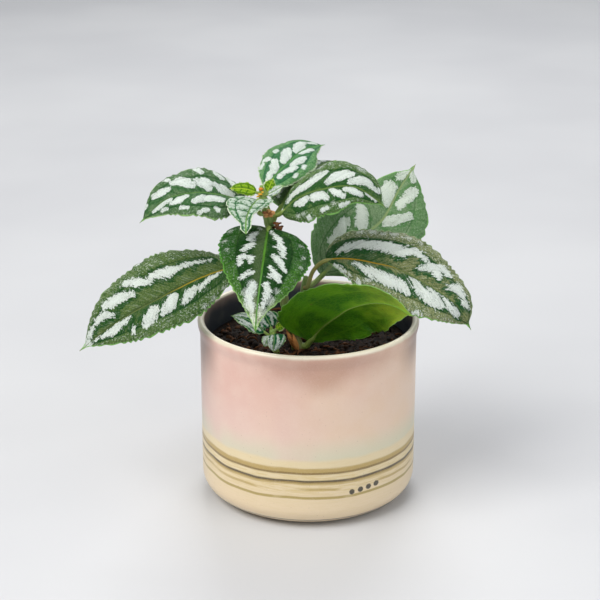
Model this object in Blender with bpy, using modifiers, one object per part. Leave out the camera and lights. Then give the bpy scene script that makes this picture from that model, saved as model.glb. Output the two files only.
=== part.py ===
"""Potted aluminum plant: a glazed pot of soil, one leafy stem and a young shoot.

Lengths are in metres and +Z is up. The origin is the middle of the pot's foot, on the
surface that it stands on. +X is to the right and -Y to the front.
"""
import math
from collections import namedtuple

import bmesh
import bpy
import numpy as np
from mathutils import Vector

MM = 0.001
OBJECT_NAME = "potted_aluminum_plant"
CUTTERS_NAME = "cutters"

# Clearance between touching pieces, and how deep a small leaf's stalk is sunk where it is fused
GAP = 0.3 * MM
ROOT_SINK = 0.9 * MM

# How finely smooth curves are sampled, and the angle past which an edge is sharp
SPAN_STEPS = 40
SEARCH_STEPS = 600
SHARP_ANGLE = 40.0

# Pot
POT_HEIGHT = 75.0 * MM
POT_RIM_RADIUS = 45.0 * MM
POT_WALL_RADIUS = 44.0 * MM
POT_INNER_RADIUS = 41.5 * MM
POT_FOOT_RADIUS = 35.5 * MM
POT_FOOT_HEIGHT = 1.2 * MM
POT_FOOT_TAPER = 0.3 * MM
POT_CORNER_RADIUS = 7.5 * MM
POT_INNER_CORNER_RADIUS = 6.0 * MM
POT_FLOOR = 5.0 * MM
POT_FLARE_HEIGHT = 7.0 * MM
POT_LIP_RADIUS = 1.4 * MM
POT_SIDES = 40
LIP_STEPS = 6
CORNER_STEPS = 4
INNER_CORNER_STEPS = 3

# Soil
SOIL_EDGE_HEIGHT = 63.5 * MM
SOIL_MOUND = 1.5 * MM
SOIL_LUMP = 0.6 * MM
SOIL_LUMP_LENGTH = 28.0 * MM
SOIL_LUMP_WIDTH = 22.0 * MM
SOIL_RINGS = 5

# Leaf blades and stalks
BLADE_THICKNESS = 0.7 * MM
BLADE_SHARES = (-1.0, -0.66, -0.33, 0.0, 0.33, 0.66, 1.0)
SMALL_BLADE_SHARES = (-1.0, -0.5, 0.0, 0.5, 1.0)
RIB_DEPTH = 0.5 * MM
STALK_BLEND = 0.10
TIP_BLEND = 0.06
STALK_STEP = 4.0 * MM
BODY_END = 0.95
DRIP_TIP_LENGTH = 0.12
DRIP_TIP_START = 0.3
DRIP_TIP_FULL = 0.55
TOOTH_DEPTH = 0.55 * MM
TOOTH_NOTCH = 0.3
PUFF_HEIGHT = 0.35 * MM
PUFFS = 5
VEIN_SHARE = 0.58
WAVES = 2.5
WAVE_SHIFT = 0.35

# Stems
STEM_STEP = 3.0 * MM
STEM_START = 0.5 * MM
NODE_SWELL = 0.22
NODE_REACH = 3.0 * MM

# Withered flowers
FLOWER_STALK_SHARE = 0.6
BEAD_SHRINK = 0.8
BEAD_SPREAD = 1.6
BEAD_SIDES = 7
BEAD_RINGS = 5


def mm(x, y, z):
    """A point or a direction given in millimetres."""
    return Vector((x, y, z)) * MM


# A stem: its points from its foot up, and its radius at the foot and at the top. One
# that grows out of another has that one as its parent, at a height up it.
Stem = namedtuple("Stem", "points foot_radius top_radius parent height")

MAIN_STEM = Stem(
    points=[
        mm(-3, -12, 46),
        mm(-4, -12, 64),
        mm(-9, -10.5, 82),
        mm(-12, -9, 98),
        mm(-15, -8, 114),
        mm(-18, -7, 127),
    ],
    foot_radius=2.3 * MM,
    top_radius=1.5 * MM,
    parent=None,
    height=0.0,
)
SIDE_BRANCH = Stem(
    points=[mm(-3.6, -6, 78.8), mm(-2.2, -2.5, 84), mm(-1, 2, 91)],
    foot_radius=1.5 * MM,
    top_radius=1.1 * MM,
    parent=MAIN_STEM,
    height=77 * MM,
)
SHOOT_STEM = Stem(
    points=[mm(-11.5, -17, 52), mm(-12.5, -16.5, 64), mm(-13.8, -15.6, 70), mm(-14.5, -15, 74.5)],
    foot_radius=1.4 * MM,
    top_radius=1.0 * MM,
    parent=None,
    height=0.0,
)
TIP_STEM = Stem(
    points=[mm(-18.1, -7, 127.4), mm(-18.4, -7.1, 129.5), mm(-18.5, -7.4, 132)],
    foot_radius=1.3 * MM,
    top_radius=0.8 * MM,
    parent=None,
    height=0.0,
)

# A leaf. stem and height say where its stalk leaves a stem. stalk holds the points on
# to the blade's base, and rib the points from there to the tip. facing is the direction
# that the upper side looks to, at the base and at the tip. Each pair below it is for the
# halves left and right of the rib, seen from above: half width, where along the blade it
# is widest, how bluntly it ends, the drip tip's width as a share, the angle at which it
# rises from the rib, and how far it then bends down. Angles are degrees.
Leaf = namedtuple(
    "Leaf",
    "stem height stalk rib facing half_widths widest tip_power drip_width fold arch teeth wave stalk_radius",
)

LEAVES = {
    "leaf_lower_left": Leaf(
        stem=MAIN_STEM,
        height=103 * MM,
        stalk=[mm(-22, -11, 102), mm(-29, -12, 100)],
        rib=[mm(-42, -15, 96.5), mm(-58, -19, 89.5), mm(-75, -22, 80.5), mm(-90.5, -24, 69)],
        facing=(mm(0, -60, 80), mm(-10, -60, 75)),
        half_widths=(16 * MM, 21 * MM),
        widest=(0.42, 0.48),
        tip_power=(0.85, 0.75),
        drip_width=(0.13, 0.13),
        fold=(20, 20),
        arch=(45, 45),
        teeth=11,
        wave=0.8 * MM,
        stalk_radius=1.1 * MM,
    ),
    "leaf_upper_left": Leaf(
        stem=MAIN_STEM,
        height=121 * MM,
        stalk=[mm(-20.5, -5.6, 122.6), mm(-25, -5.8, 124.6)],
        rib=[mm(-30.5, -7, 126.9), mm(-36, -8.8, 128.7), mm(-44, -11, 130), mm(-55, -13, 128), mm(-66, -14, 118.8)],
        facing=(mm(10, -50, 85), mm(-40, -50, 70)),
        half_widths=(13 * MM, 13.5 * MM),
        widest=(0.38, 0.41),
        tip_power=(1.0, 0.70),
        drip_width=(0.13, 0.13),
        fold=(18, 18),
        arch=(45, 35),
        teeth=9,
        wave=0.6 * MM,
        stalk_radius=0.9 * MM,
    ),
    "leaf_top": Leaf(
        stem=MAIN_STEM,
        height=125 * MM,
        stalk=[mm(-17.5, -4, 127), mm(-17, -2, 129)],
        rib=[mm(-12.5, 7, 132.5), mm(-7.5, 16, 135), mm(-2, 26, 137), mm(7, 35, 137)],
        facing=(mm(-10, -45, 85), mm(0, -30, 95)),
        half_widths=(12.5 * MM, 11.5 * MM),
        widest=(0.55, 0.42),
        tip_power=(0.7, 0.9),
        drip_width=(0.13, 0.13),
        fold=(14, 14),
        arch=(30, 35),
        teeth=9,
        wave=0.5 * MM,
        stalk_radius=0.9 * MM,
    ),
    "leaf_upper_right": Leaf(
        stem=MAIN_STEM,
        height=119.5 * MM,
        stalk=[mm(-13, -8, 120), mm(-10.5, -9, 121.5)],
        rib=[mm(-4, -10, 127.5), mm(6, -11, 131.5), mm(18, -12, 132.5), mm(30, -13, 125)],
        facing=(mm(-30, -50, 80), mm(40, -40, 70)),
        half_widths=(14 * MM, 13 * MM),
        widest=(0.60, 0.36),
        tip_power=(0.6, 0.85),
        drip_width=(0.13, 0.13),
        fold=(14, 14),
        arch=(30, 50),
        teeth=9,
        wave=0.6 * MM,
        stalk_radius=0.9 * MM,
    ),
    "leaf_young_front": Leaf(
        stem=MAIN_STEM,
        height=125.5 * MM,
        stalk=[mm(-19, -10.5, 127), mm(-19.8, -11.5, 127.3)],
        rib=[mm(-22.5, -17, 125.5), mm(-24, -23, 123), mm(-24, -30, 119.5)],
        facing=(mm(4, -20, 90), mm(0, -60, 60)),
        half_widths=(9 * MM, 11 * MM),
        widest=(0.12, 0.26),
        tip_power=(2.8, 1.9),
        drip_width=(0.28, 0.22),
        fold=(29, 15),
        arch=(20, 30),
        teeth=6,
        wave=0.5 * MM,
        stalk_radius=0.8 * MM,
    ),
    "leaf_front": Leaf(
        stem=MAIN_STEM,
        height=115 * MM,
        stalk=[mm(-15.2, -11.5, 114.4), mm(-15.8, -15, 116.8)],
        rib=[mm(-16.8, -27, 113), mm(-18, -40, 107), mm(-19.3, -53, 99), mm(-20, -61, 91.5)],
        facing=(mm(0, -40, 90), mm(0, -60, 70)),
        half_widths=(18.5 * MM, 18.5 * MM),
        widest=(0.33, 0.23),
        tip_power=(1.2, 0.95),
        drip_width=(0.13, 0.13),
        fold=(10, 16),
        arch=(30, 30),
        teeth=11,
        wave=0.7 * MM,
        stalk_radius=1.1 * MM,
    ),
    "leaf_right": Leaf(
        stem=SIDE_BRANCH,
        height=87 * MM,
        stalk=[mm(2, -2, 95), mm(7, -3, 99.5)],
        rib=[mm(16, -4, 100.4), mm(26, -6, 99.3), mm(37, -9, 97), mm(57, -16, 86.5), mm(64.5, -18, 75.5)],
        facing=(mm(-20, -60, 80), mm(30, -60, 70)),
        half_widths=(18.5 * MM, 17 * MM),
        widest=(0.41, 0.55),
        tip_power=(0.65, 0.65),
        drip_width=(0.13, 0.13),
        fold=(20, 20),
        arch=(45, 45),
        teeth=11,
        wave=0.8 * MM,
        stalk_radius=1.1 * MM,
    ),
    "leaf_back_right": Leaf(
        stem=SIDE_BRANCH,
        height=88 * MM,
        stalk=[mm(2, 7, 86), mm(5.6, 14, 87)],
        rib=[mm(15, 20, 95), mm(24, 26, 101), mm(31.5, 31, 106.5), mm(38, 37, 117), mm(45, 41, 127)],
        facing=(mm(-20, -80, 50), mm(10, -80, 50)),
        half_widths=(21 * MM, 19.5 * MM),
        widest=(0.42, 0.55),
        tip_power=(0.9, 0.75),
        drip_width=(0.13, 0.13),
        fold=(14, 14),
        arch=(30, 35),
        teeth=11,
        wave=0.8 * MM,
        stalk_radius=1.1 * MM,
    ),
    "leaf_underside": Leaf(
        stem=MAIN_STEM,
        height=66 * MM,
        stalk=[mm(-0.5, -13, 67), mm(0.5, -14, 69)],
        rib=[
            mm(5, -17, 76),
            mm(11, -20, 82),
            mm(16.5, -22.4, 86.6),
            mm(25, -25.8, 90),
            mm(33, -29, 90),
            mm(40.5, -32, 86.6),
        ],
        facing=(mm(0, 80, 40), mm(0, 80, 40)),
        half_widths=(18 * MM, 20.5 * MM),
        widest=(0.55, 0.24),
        tip_power=(0.55, 1.1),
        drip_width=(0.13, 0.13),
        fold=(12, 12),
        arch=(30, 20),
        teeth=11,
        wave=0.7 * MM,
        stalk_radius=1.2 * MM,
    ),
    "leaf_back": Leaf(
        stem=MAIN_STEM,
        height=117 * MM,
        stalk=[mm(-13, -4, 119), mm(-11, 0, 121)],
        rib=[mm(-6, 12, 126), mm(0, 24, 128), mm(6, 32, 129), mm(12, 40, 129)],
        facing=(mm(0, -20, 90), mm(10, -10, 90)),
        half_widths=(12 * MM, 12 * MM),
        widest=(0.45, 0.45),
        tip_power=(0.8, 0.8),
        drip_width=(0.13, 0.13),
        fold=(12, 12),
        arch=(40, 40),
        teeth=9,
        wave=0.5 * MM,
        stalk_radius=0.9 * MM,
    ),
}

SMALL_LEAF = Leaf(
    stem=SHOOT_STEM,
    height=72 * MM,
    stalk=[],
    rib=[],
    facing=(mm(0, -30, 90), mm(0, -30, 90)),
    half_widths=(4 * MM, 4 * MM),
    widest=(0.42, 0.42),
    tip_power=(0.8, 0.8),
    drip_width=(0.13, 0.13),
    fold=(14, 14),
    arch=(30, 30),
    teeth=3,
    wave=0.3 * MM,
    stalk_radius=0.6 * MM,
)

SHOOT_LEAVES = [
    SMALL_LEAF._replace(
        height=71.5 * MM,
        stalk=[mm(-17.5, -15, 73.5)],
        rib=[mm(-20.5, -15, 76.5), mm(-25.2, -15, 79.2), mm(-31, -15.2, 80.6)],
        facing=(mm(10, -50, 60), mm(0, -50, 60)),
        half_widths=(4.4 * MM, 4.0 * MM),
    ),
    SMALL_LEAF._replace(
        height=73.6 * MM,
        stalk=[mm(-15, -14.6, 75.6)],
        rib=[mm(-16.4, -13.8, 78.4), mm(-18.6, -12.6, 82)],
        facing=(mm(10, -85, 35), mm(10, -85, 35)),
        half_widths=(4.5 * MM, 5.0 * MM),
    ),
    SMALL_LEAF._replace(
        height=73.2 * MM,
        stalk=[mm(-12.8, -15.2, 75)],
        rib=[mm(-11.3, -15.5, 76), mm(-8.8, -16, 76.8)],
        facing=(mm(0, -60, 60), mm(10, -60, 60)),
        half_widths=(2.6 * MM, 2.2 * MM),
        teeth=2,
    ),
    SMALL_LEAF._replace(
        height=71.5 * MM,
        stalk=[mm(-15.2, -17, 72.6)],
        rib=[mm(-16.4, -18.6, 71.3), mm(-17.7, -19.4, 69)],
        facing=(mm(0, -20, 90), mm(0, -80, 20)),
        half_widths=(2.6 * MM, 2.6 * MM),
        teeth=2,
    ),
    SMALL_LEAF._replace(
        height=73 * MM,
        stalk=[mm(-13.8, -17.2, 73.4)],
        rib=[mm(-13.7, -19.6, 71.6), mm(-14, -20.8, 67.2)],
        facing=(mm(0, -10, 90), mm(0, -90, 5)),
        half_widths=(5.0 * MM, 3.4 * MM),
        widest=(0.28, 0.42),
    ),
]

TIP_LEAVES = [
    SMALL_LEAF._replace(
        stem=TIP_STEM,
        height=128.8 * MM,
        stalk=[mm(-20.6, -7.6, 129.4)],
        rib=[mm(-25, -7.8, 130.8), mm(-31, -8.4, 131.2)],
        facing=(mm(-10, -75, 60), mm(-20, -75, 60)),
        half_widths=(2.9 * MM, 2.9 * MM),
        tip_power=(0.6, 0.6),
    ),
    SMALL_LEAF._replace(
        stem=TIP_STEM,
        height=128.6 * MM,
        stalk=[mm(-16.3, -6.6, 129.4)],
        rib=[mm(-15.2, -6.2, 131.4), mm(-13.8, -5.4, 134.5)],
        facing=(mm(-20, -80, 30), mm(-20, -80, 30)),
        half_widths=(2.4 * MM, 2.4 * MM),
        teeth=2,
    ),
    SMALL_LEAF._replace(
        stem=TIP_STEM,
        height=128.2 * MM,
        stalk=[mm(-16.2, -7.6, 128.6)],
        rib=[mm(-13.6, -8, 129.8), mm(-9.6, -8.4, 132.6)],
        facing=(mm(-20, -70, 60), mm(-20, -70, 60)),
        half_widths=(2.2 * MM, 2.2 * MM),
        teeth=2,
    ),
]

# A withered flower: the height at which it leaves the main stem, its middle, the radius
# of its beads, and how many stand round the middle one.
Flower = namedtuple("Flower", "height middle bead_radius beads")

FLOWERS = {
    "flower_upper": Flower(
        height=120.6 * MM,
        middle=mm(-16, -11.4, 122),
        bead_radius=1.15 * MM,
        beads=6,
    ),
    "flower_lower": Flower(
        height=114.8 * MM,
        middle=mm(-11.8, -11.2, 116.9),
        bead_radius=1.35 * MM,
        beads=7,
    ),
}

# A surface: its colour and roughness.
SURFACES = {
    "glaze": ((0.78, 0.60, 0.50, 1.0), 0.30),
    "soil": ((0.035, 0.024, 0.017, 1.0), 0.95),
    "stem": ((0.13, 0.16, 0.04, 1.0), 0.55),
    "leaf": ((0.07, 0.22, 0.05, 1.0), 0.40),
    "young_leaf": ((0.25, 0.45, 0.03, 1.0), 0.45),
    "withered": ((0.16, 0.07, 0.03, 1.0), 0.80),
}


def path_frames(points, shares):
    """Places, headings and the length of a smooth curve, at shares of its length."""
    control = np.array([tuple(point) for point in points])
    before = 2 * control[0] - control[1]
    after = 2 * control[-1] - control[-2]
    control = np.vstack([before, control, after])
    steps = np.linspace(0.0, 1.0, SPAN_STEPS, endpoint=False)[:, None]
    spans = []
    for a, b, c, d in zip(control, control[1:], control[2:], control[3:]):
        linear = (c - a) * steps
        square = (2 * a - 5 * b + 4 * c - d) * steps**2
        cube = (3 * b - a - 3 * c + d) * steps**3
        spans.append(0.5 * (2 * b + linear + square + cube))
    spans.append(control[-2:-1])
    dense = np.vstack(spans)
    lengths = np.concatenate([[0.0], np.cumsum(np.linalg.norm(np.diff(dense, axis=0), axis=1))])
    tangents = np.gradient(dense, axis=0)
    wanted = np.asarray(shares) * lengths[-1]
    places = [np.interp(wanted, lengths, dense[:, axis]) for axis in range(3)]
    headings = [np.interp(wanted, lengths, tangents[:, axis]) for axis in range(3)]
    return (
        [Vector(place) for place in zip(*places)],
        [Vector(heading).normalized() for heading in zip(*headings)],
        lengths[-1],
    )


def even_shares(length, step):
    """Shares from 0 to 1 that are about one step apart."""
    return list(np.linspace(0.0, 1.0, max(2, round(length / step)) + 1))


def stem_points(stem):
    """The points of a stem, with the ones that seat it on its parent."""
    if stem.parent is None:
        return stem.points
    start, outward = seat_on_stem(stem.parent, stem.height, stem.points[0], GAP)
    return [start, start + outward * MM] + stem.points


def growth_heights(stem):
    """Heights at which something grows out of a stem."""
    heights = [leaf.height for leaf in LEAVES.values() if leaf.stem is stem]
    if SIDE_BRANCH.parent is stem:
        heights.append(SIDE_BRANCH.height)
    return heights


def stem_radius(stem, share, height):
    """A stem's radius, which swells where a stalk leaves it."""
    radius = stem.foot_radius + (stem.top_radius - stem.foot_radius) * share
    swell = 0.0
    for growth in growth_heights(stem):
        nearness = max(0.0, 1.0 - abs(height - growth) / NODE_REACH)
        swell = max(swell, nearness * nearness * (3 - 2 * nearness))
    return radius * (1.0 + NODE_SWELL * swell)


def seat_on_stem(stem, height, toward, clearance):
    """Where a stalk starts beside a stem, and the direction it leaves in."""
    shares = np.linspace(0.0, 1.0, SEARCH_STEPS)
    places, headings, _ = path_frames(stem_points(stem), shares)
    nearest = min(range(len(places)), key=lambda index: abs(places[index].z - height))
    axis_point, axis = places[nearest], headings[nearest]
    outward = (toward - axis_point) - axis * (toward - axis_point).dot(axis)
    outward.normalize()
    radius = stem_radius(stem, shares[nearest], axis_point.z)
    return axis_point + outward * (radius + clearance), outward


def half_width_share(leaf, half, t):
    """A blade half's width at t, from 0 at the base to 1 at the tip, as a share of its widest."""
    widest, tip_power = leaf.widest[half], leaf.tip_power[half]
    along = min(t / BODY_END, 1.0)
    base_power = widest * tip_power / (1.0 - widest)
    body = (along / widest) ** base_power * ((1.0 - along) / (1.0 - widest)) ** tip_power
    starting = min(max((t - DRIP_TIP_START) / (DRIP_TIP_FULL - DRIP_TIP_START), 0.0), 1.0)
    tail = leaf.drip_width[half] * starting * min((1.0 - t) / DRIP_TIP_LENGTH, 1.0)
    return (body**4 + tail**4) ** 0.25


def blade_surface(leaf, t, u):
    """Place and outward direction across the rib, as (side, lift) pairs, at t along and u across.

    u runs from -1 at the right margin over 0 at the rib to 1 at the left margin.
    """
    half = 0 if u >= 0 else 1
    sign = 1.0 if u >= 0 else -1.0
    share = abs(u)
    fullness = half_width_share(leaf, half, t)
    width = leaf.half_widths[half] * fullness
    fold = math.radians(leaf.fold[half])
    arch = math.radians(leaf.arch[half])
    angle = fold - arch * share
    side = width * (math.sin(fold) - math.sin(angle)) / arch
    lift = width * (math.cos(angle) - math.cos(fold)) / arch
    lift += leaf.wave * fullness * share**2 * math.sin(2 * math.pi * (WAVES * t + WAVE_SHIFT * half))
    between_veins = math.sin(math.pi * min(share / VEIN_SHARE, 1.0))
    lift += PUFF_HEIGHT * fullness * between_veins * (0.5 + 0.5 * math.cos(2 * math.pi * PUFFS * t))
    if u == 0.0:
        return (0.0, lift), (0.0, 1.0)
    return (sign * side, lift), (-sign * math.sin(angle), math.cos(angle))


def blade_stations(leaf):
    """Shares of the blade's length at its tooth tips and at the notches between them."""
    stations = [(0.0, False)]
    for tooth in range(leaf.teeth):
        stations.append(((tooth + TOOTH_NOTCH) / leaf.teeth, True))
        stations.append(((tooth + 1) / leaf.teeth, False))
    return stations


def leaf_points(leaf, clearance):
    """The points of a whole leaf from its stem to its tip, and how many lead to the blade's base."""
    start, outward = seat_on_stem(leaf.stem, leaf.height, leaf.stalk[0], clearance)
    lead = [start, start + outward * MM] if clearance > 0.0 else [start]
    return lead + leaf.stalk + leaf.rib, len(lead) + len(leaf.stalk) - 1


def leaf_frames(leaf, blade_shares, clearance):
    """Frames (place, across, normal) along the stalk, and along the blade at the shares given."""
    points, base = leaf_points(leaf, clearance)
    dense = np.linspace(0.0, 1.0, SEARCH_STEPS)
    places, _, length = path_frames(points, dense)
    base_share = dense[min(range(len(places)), key=lambda index: (places[index] - points[base]).length)]
    stalk_shares = [base_share * share for share in even_shares(base_share * length, STALK_STEP)[:-1]]
    all_shares = stalk_shares + [base_share + (1.0 - base_share) * share for share in blade_shares]
    places, headings, _ = path_frames(points, all_shares)
    first, last = (Vector(facing).normalized() for facing in leaf.facing)
    turns = [0.0] * len(stalk_shares) + list(blade_shares)
    frames = []
    for place, heading, turn in zip(places, headings, turns):
        facing = first.lerp(last, turn)
        normal = (facing - heading * facing.dot(heading)).normalized()
        frames.append((place, normal.cross(heading), normal))
    return frames[: len(stalk_shares)], frames[len(stalk_shares) :]


def round_section(columns, radius):
    """Upper and lower points of a round section, one pair for each column of the blade."""
    angles = [(column - (columns - 1) / 2) * math.pi / columns for column in range(columns)]
    upper = [(radius * math.sin(angle), radius * math.cos(angle)) for angle in angles]
    lower = [(side, -lift) for side, lift in upper]
    return upper, lower


def blade_section(leaf, t, notch, blade_shares):
    """Upper and lower points of the blade's section at t."""
    upper, lower = [], []
    for u in blade_shares:
        (side, lift), (out_side, out_lift) = blade_surface(leaf, t, u)
        if abs(u) == 1.0 and notch:
            fullness = half_width_share(leaf, 0 if u > 0 else 1, t)
            side -= math.copysign(TOOTH_DEPTH * fullness, u)
        above = BLADE_THICKNESS / 2
        below = above + (RIB_DEPTH * (1.0 - t) if u == 0.0 else 0.0)
        upper.append((side + out_side * above, lift + out_lift * above))
        lower.append((side - out_side * below, lift - out_lift * below))
    return upper, lower


def mix(first, second, share):
    """A section part of the way from one to another."""
    rows = zip(first, second)
    return tuple((1.0 - share) * np.array(one) + share * np.array(other) for one, other in rows)


def leaf_rings(leaf, clearance, blade_shares):
    """The leaf's sections in space, each as its upper and its lower points."""
    stations = blade_stations(leaf)
    stalk_frames, blade_frames = leaf_frames(leaf, [t for t, _ in stations], clearance)
    stalk = round_section(len(blade_shares), leaf.stalk_radius)
    end = round_section(len(blade_shares), BLADE_THICKNESS / 2)
    sections = [stalk] * len(stalk_frames)
    for t, notch in stations:
        blade = blade_section(leaf, t, notch, blade_shares)
        blade = mix(stalk, blade, min(t / STALK_BLEND, 1.0))
        sections.append(mix(end, blade, min((1.0 - t) / TIP_BLEND, 1.0)))
    rings = []
    for (place, across, normal), section in zip(stalk_frames + blade_frames, sections):
        rings.append([[place + across * side + normal * lift for side, lift in row] for row in section])
    return rings


def add_quad(mesh, corners, rising):
    """Two triangles on four corners, split from the first corner or from the second."""
    a, b, c, d = corners
    if rising:
        mesh.faces.new((a, b, c))
        mesh.faces.new((a, c, d))
    else:
        mesh.faces.new((a, b, d))
        mesh.faces.new((b, c, d))


def loft(name, rings):
    """A closed skin over sections that each hold a row of upper and a row of lower points.

    Both rows are split alike, along lines that run outward and forward as a leaf's veins do.
    """
    mesh = bmesh.new()
    rows = [[[mesh.verts.new(point) for point in row] for row in ring] for ring in rings]
    columns = len(rows[0][0])
    for here, ahead in zip(rows, rows[1:]):
        for side in (0, 1):
            for column in range(columns - 1):
                near, far = here[side], ahead[side]
                corners = (near[column], near[column + 1], far[column + 1], far[column])
                add_quad(mesh, corners, rising=column >= columns // 2)
        for column in (0, columns - 1):
            corners = (here[0][column], here[1][column], ahead[1][column], ahead[0][column])
            add_quad(mesh, corners, rising=True)
    for upper, lower in (rows[0], rows[-1]):
        for column in range(columns - 1):
            corners = (upper[column], upper[column + 1], lower[column + 1], lower[column])
            add_quad(mesh, corners, rising=True)
    bmesh.ops.recalc_face_normals(mesh, faces=mesh.faces)
    return object_from_bmesh(name, mesh)


def object_from_bmesh(name, mesh):
    """A new object that holds a finished bmesh."""
    data = bpy.data.meshes.new(name)
    mesh.to_mesh(data)
    mesh.free()
    return bpy.data.objects.new(name, data)


def object_from_evaluated(source, name):
    """A mesh object with the source's modifiers or bevel applied. The source is removed."""
    bpy.context.scene.collection.objects.link(source)
    bpy.context.view_layer.update()
    evaluated = source.evaluated_get(bpy.context.evaluated_depsgraph_get())
    data = bpy.data.meshes.new_from_object(evaluated)
    data.name = name
    bpy.data.objects.remove(source)
    return bpy.data.objects.new(name, data)


def weld(piece, distance):
    """Join an object's points that lie closer than a distance."""
    mesh = bmesh.new()
    mesh.from_mesh(piece.data)
    bmesh.ops.remove_doubles(mesh, verts=mesh.verts, dist=distance)
    bmesh.ops.recalc_face_normals(mesh, faces=mesh.faces)
    mesh.to_mesh(piece.data)
    mesh.free()


def tube(name, places, radii, roundness):
    """A closed tube through places, with a radius at each."""
    curve = bpy.data.curves.new(name, "CURVE")
    curve.dimensions = "3D"
    curve.bevel_depth = 1.0 * MM
    curve.bevel_resolution = roundness
    curve.use_fill_caps = True
    spline = curve.splines.new("POLY")
    spline.points.add(len(places) - 1)
    for point, place, radius in zip(spline.points, places, radii):
        point.co = (*place, 1.0)
        point.radius = radius / MM
    piece = object_from_evaluated(bpy.data.objects.new(name + "_curve", curve), name)
    weld(piece, 0.01 * MM)
    return piece


def stem_tube(name, stem, extra=0.0, roundness=4):
    """A stem as a tube, made thicker and longer at its foot by an extra."""
    points = stem_points(stem)
    _, _, length = path_frames(points, [0.0])
    shares = even_shares(length, STEM_STEP)
    shares.insert(1, STEM_START / length)
    places, headings, _ = path_frames(points, shares)
    radii = [stem_radius(stem, share, place.z) + extra for share, place in zip(shares, places)]
    places[0] = places[0] - headings[0] * extra
    return tube(name, places, radii, roundness)


def arc(centre, radius, start, end, steps):
    """Points (r, z) on an arc between two angles in degrees."""
    angles = [math.radians(start + (end - start) * step / steps) for step in range(steps + 1)]
    return [(centre[0] + radius * math.cos(a), centre[1] + radius * math.sin(a)) for a in angles]


def turned(name, profile, sides):
    """A body turned from a profile (r, z) that runs down its outer side."""
    mesh = bmesh.new()
    points = [mesh.verts.new((r, 0.0, z)) for r, z in profile]
    for first, second in zip(points, points[1:]):
        mesh.edges.new((first, second))
    piece = object_from_bmesh(name, mesh)
    screw = piece.modifiers.new("turn", "SCREW")
    screw.axis = "Z"
    screw.steps = sides
    screw.render_steps = sides
    screw.use_merge_vertices = True
    screw.merge_threshold = 0.01 * MM
    return piece


def pot_profile():
    """From the middle of the floor up the inside, over the lip and down to the foot."""
    inner_corner = (POT_INNER_RADIUS - POT_INNER_CORNER_RADIUS, POT_FLOOR + POT_INNER_CORNER_RADIUS)
    lip = (POT_RIM_RADIUS - POT_LIP_RADIUS, POT_HEIGHT - POT_LIP_RADIUS)
    outer_corner = (POT_WALL_RADIUS - POT_CORNER_RADIUS, POT_FOOT_HEIGHT + POT_CORNER_RADIUS)
    flare_foot = POT_HEIGHT - POT_FLARE_HEIGHT
    profile = [(0.0, POT_FLOOR)]
    profile += arc(inner_corner, POT_INNER_CORNER_RADIUS, -90, 0, INNER_CORNER_STEPS)
    profile.append((POT_INNER_RADIUS, flare_foot))
    profile += arc(lip, POT_LIP_RADIUS, 180, 0, LIP_STEPS)
    profile.append(((POT_WALL_RADIUS + POT_RIM_RADIUS) / 2, (lip[1] + flare_foot) / 2))
    profile.append((POT_WALL_RADIUS, flare_foot))
    profile += arc(outer_corner, POT_CORNER_RADIUS, 0, -90, CORNER_STEPS)
    profile.append((POT_FOOT_RADIUS, POT_FOOT_HEIGHT))
    profile.append((POT_FOOT_RADIUS - POT_FOOT_TAPER, 0.0))
    profile.append((0.0, 0.0))
    return profile


def soil_profile():
    """From the top of the mound out to the wall and down to the pot's floor."""
    radius = POT_INNER_RADIUS - GAP
    corner = (POT_INNER_RADIUS - POT_INNER_CORNER_RADIUS, POT_FLOOR + POT_INNER_CORNER_RADIUS)
    profile = []
    for ring in range(SOIL_RINGS + 1):
        share = ring / SOIL_RINGS
        profile.append((radius * share, SOIL_EDGE_HEIGHT + SOIL_MOUND * (1.0 - share**2)))
    profile += arc(corner, POT_INNER_CORNER_RADIUS - GAP, 0, -90, INNER_CORNER_STEPS)
    profile.append((0.0, POT_FLOOR + GAP))
    return profile


def roughen_soil(piece):
    """Low lumps over the soil's top, which fade out at the wall."""
    radius = POT_INNER_RADIUS - GAP
    for vertex in piece.data.vertices:
        x, y, z = vertex.co
        if z < SOIL_EDGE_HEIGHT - MM:
            continue
        fade = 1.0 - (math.hypot(x, y) / radius) ** 4
        lump = math.sin(2 * math.pi * x / SOIL_LUMP_LENGTH) * math.cos(2 * math.pi * y / SOIL_LUMP_WIDTH)
        vertex.co.z = z + SOIL_LUMP * lump * fade


def bead(name, place, radius):
    """One round bead of a withered flower."""
    mesh = bmesh.new()
    bmesh.ops.create_uvsphere(mesh, u_segments=BEAD_SIDES, v_segments=BEAD_RINGS, radius=radius)
    bmesh.ops.translate(mesh, verts=mesh.verts, vec=place)
    return object_from_bmesh(name, mesh)


def fuse(body, repeats):
    """Join closed shapes that overlap a body to it, as one closed shape."""
    collection = bpy.data.collections.new(body.name + "_repeats")
    bpy.context.scene.collection.children.link(collection)
    for repeat in repeats:
        collection.objects.link(repeat)
    union = body.modifiers.new("union", "BOOLEAN")
    union.operation = "UNION"
    union.operand_type = "COLLECTION"
    union.collection = collection
    union.solver = "EXACT"
    joined = object_from_evaluated(body, body.name)
    for repeat in repeats:
        bpy.data.objects.remove(repeat)
    bpy.data.collections.remove(collection)
    return joined


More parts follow.
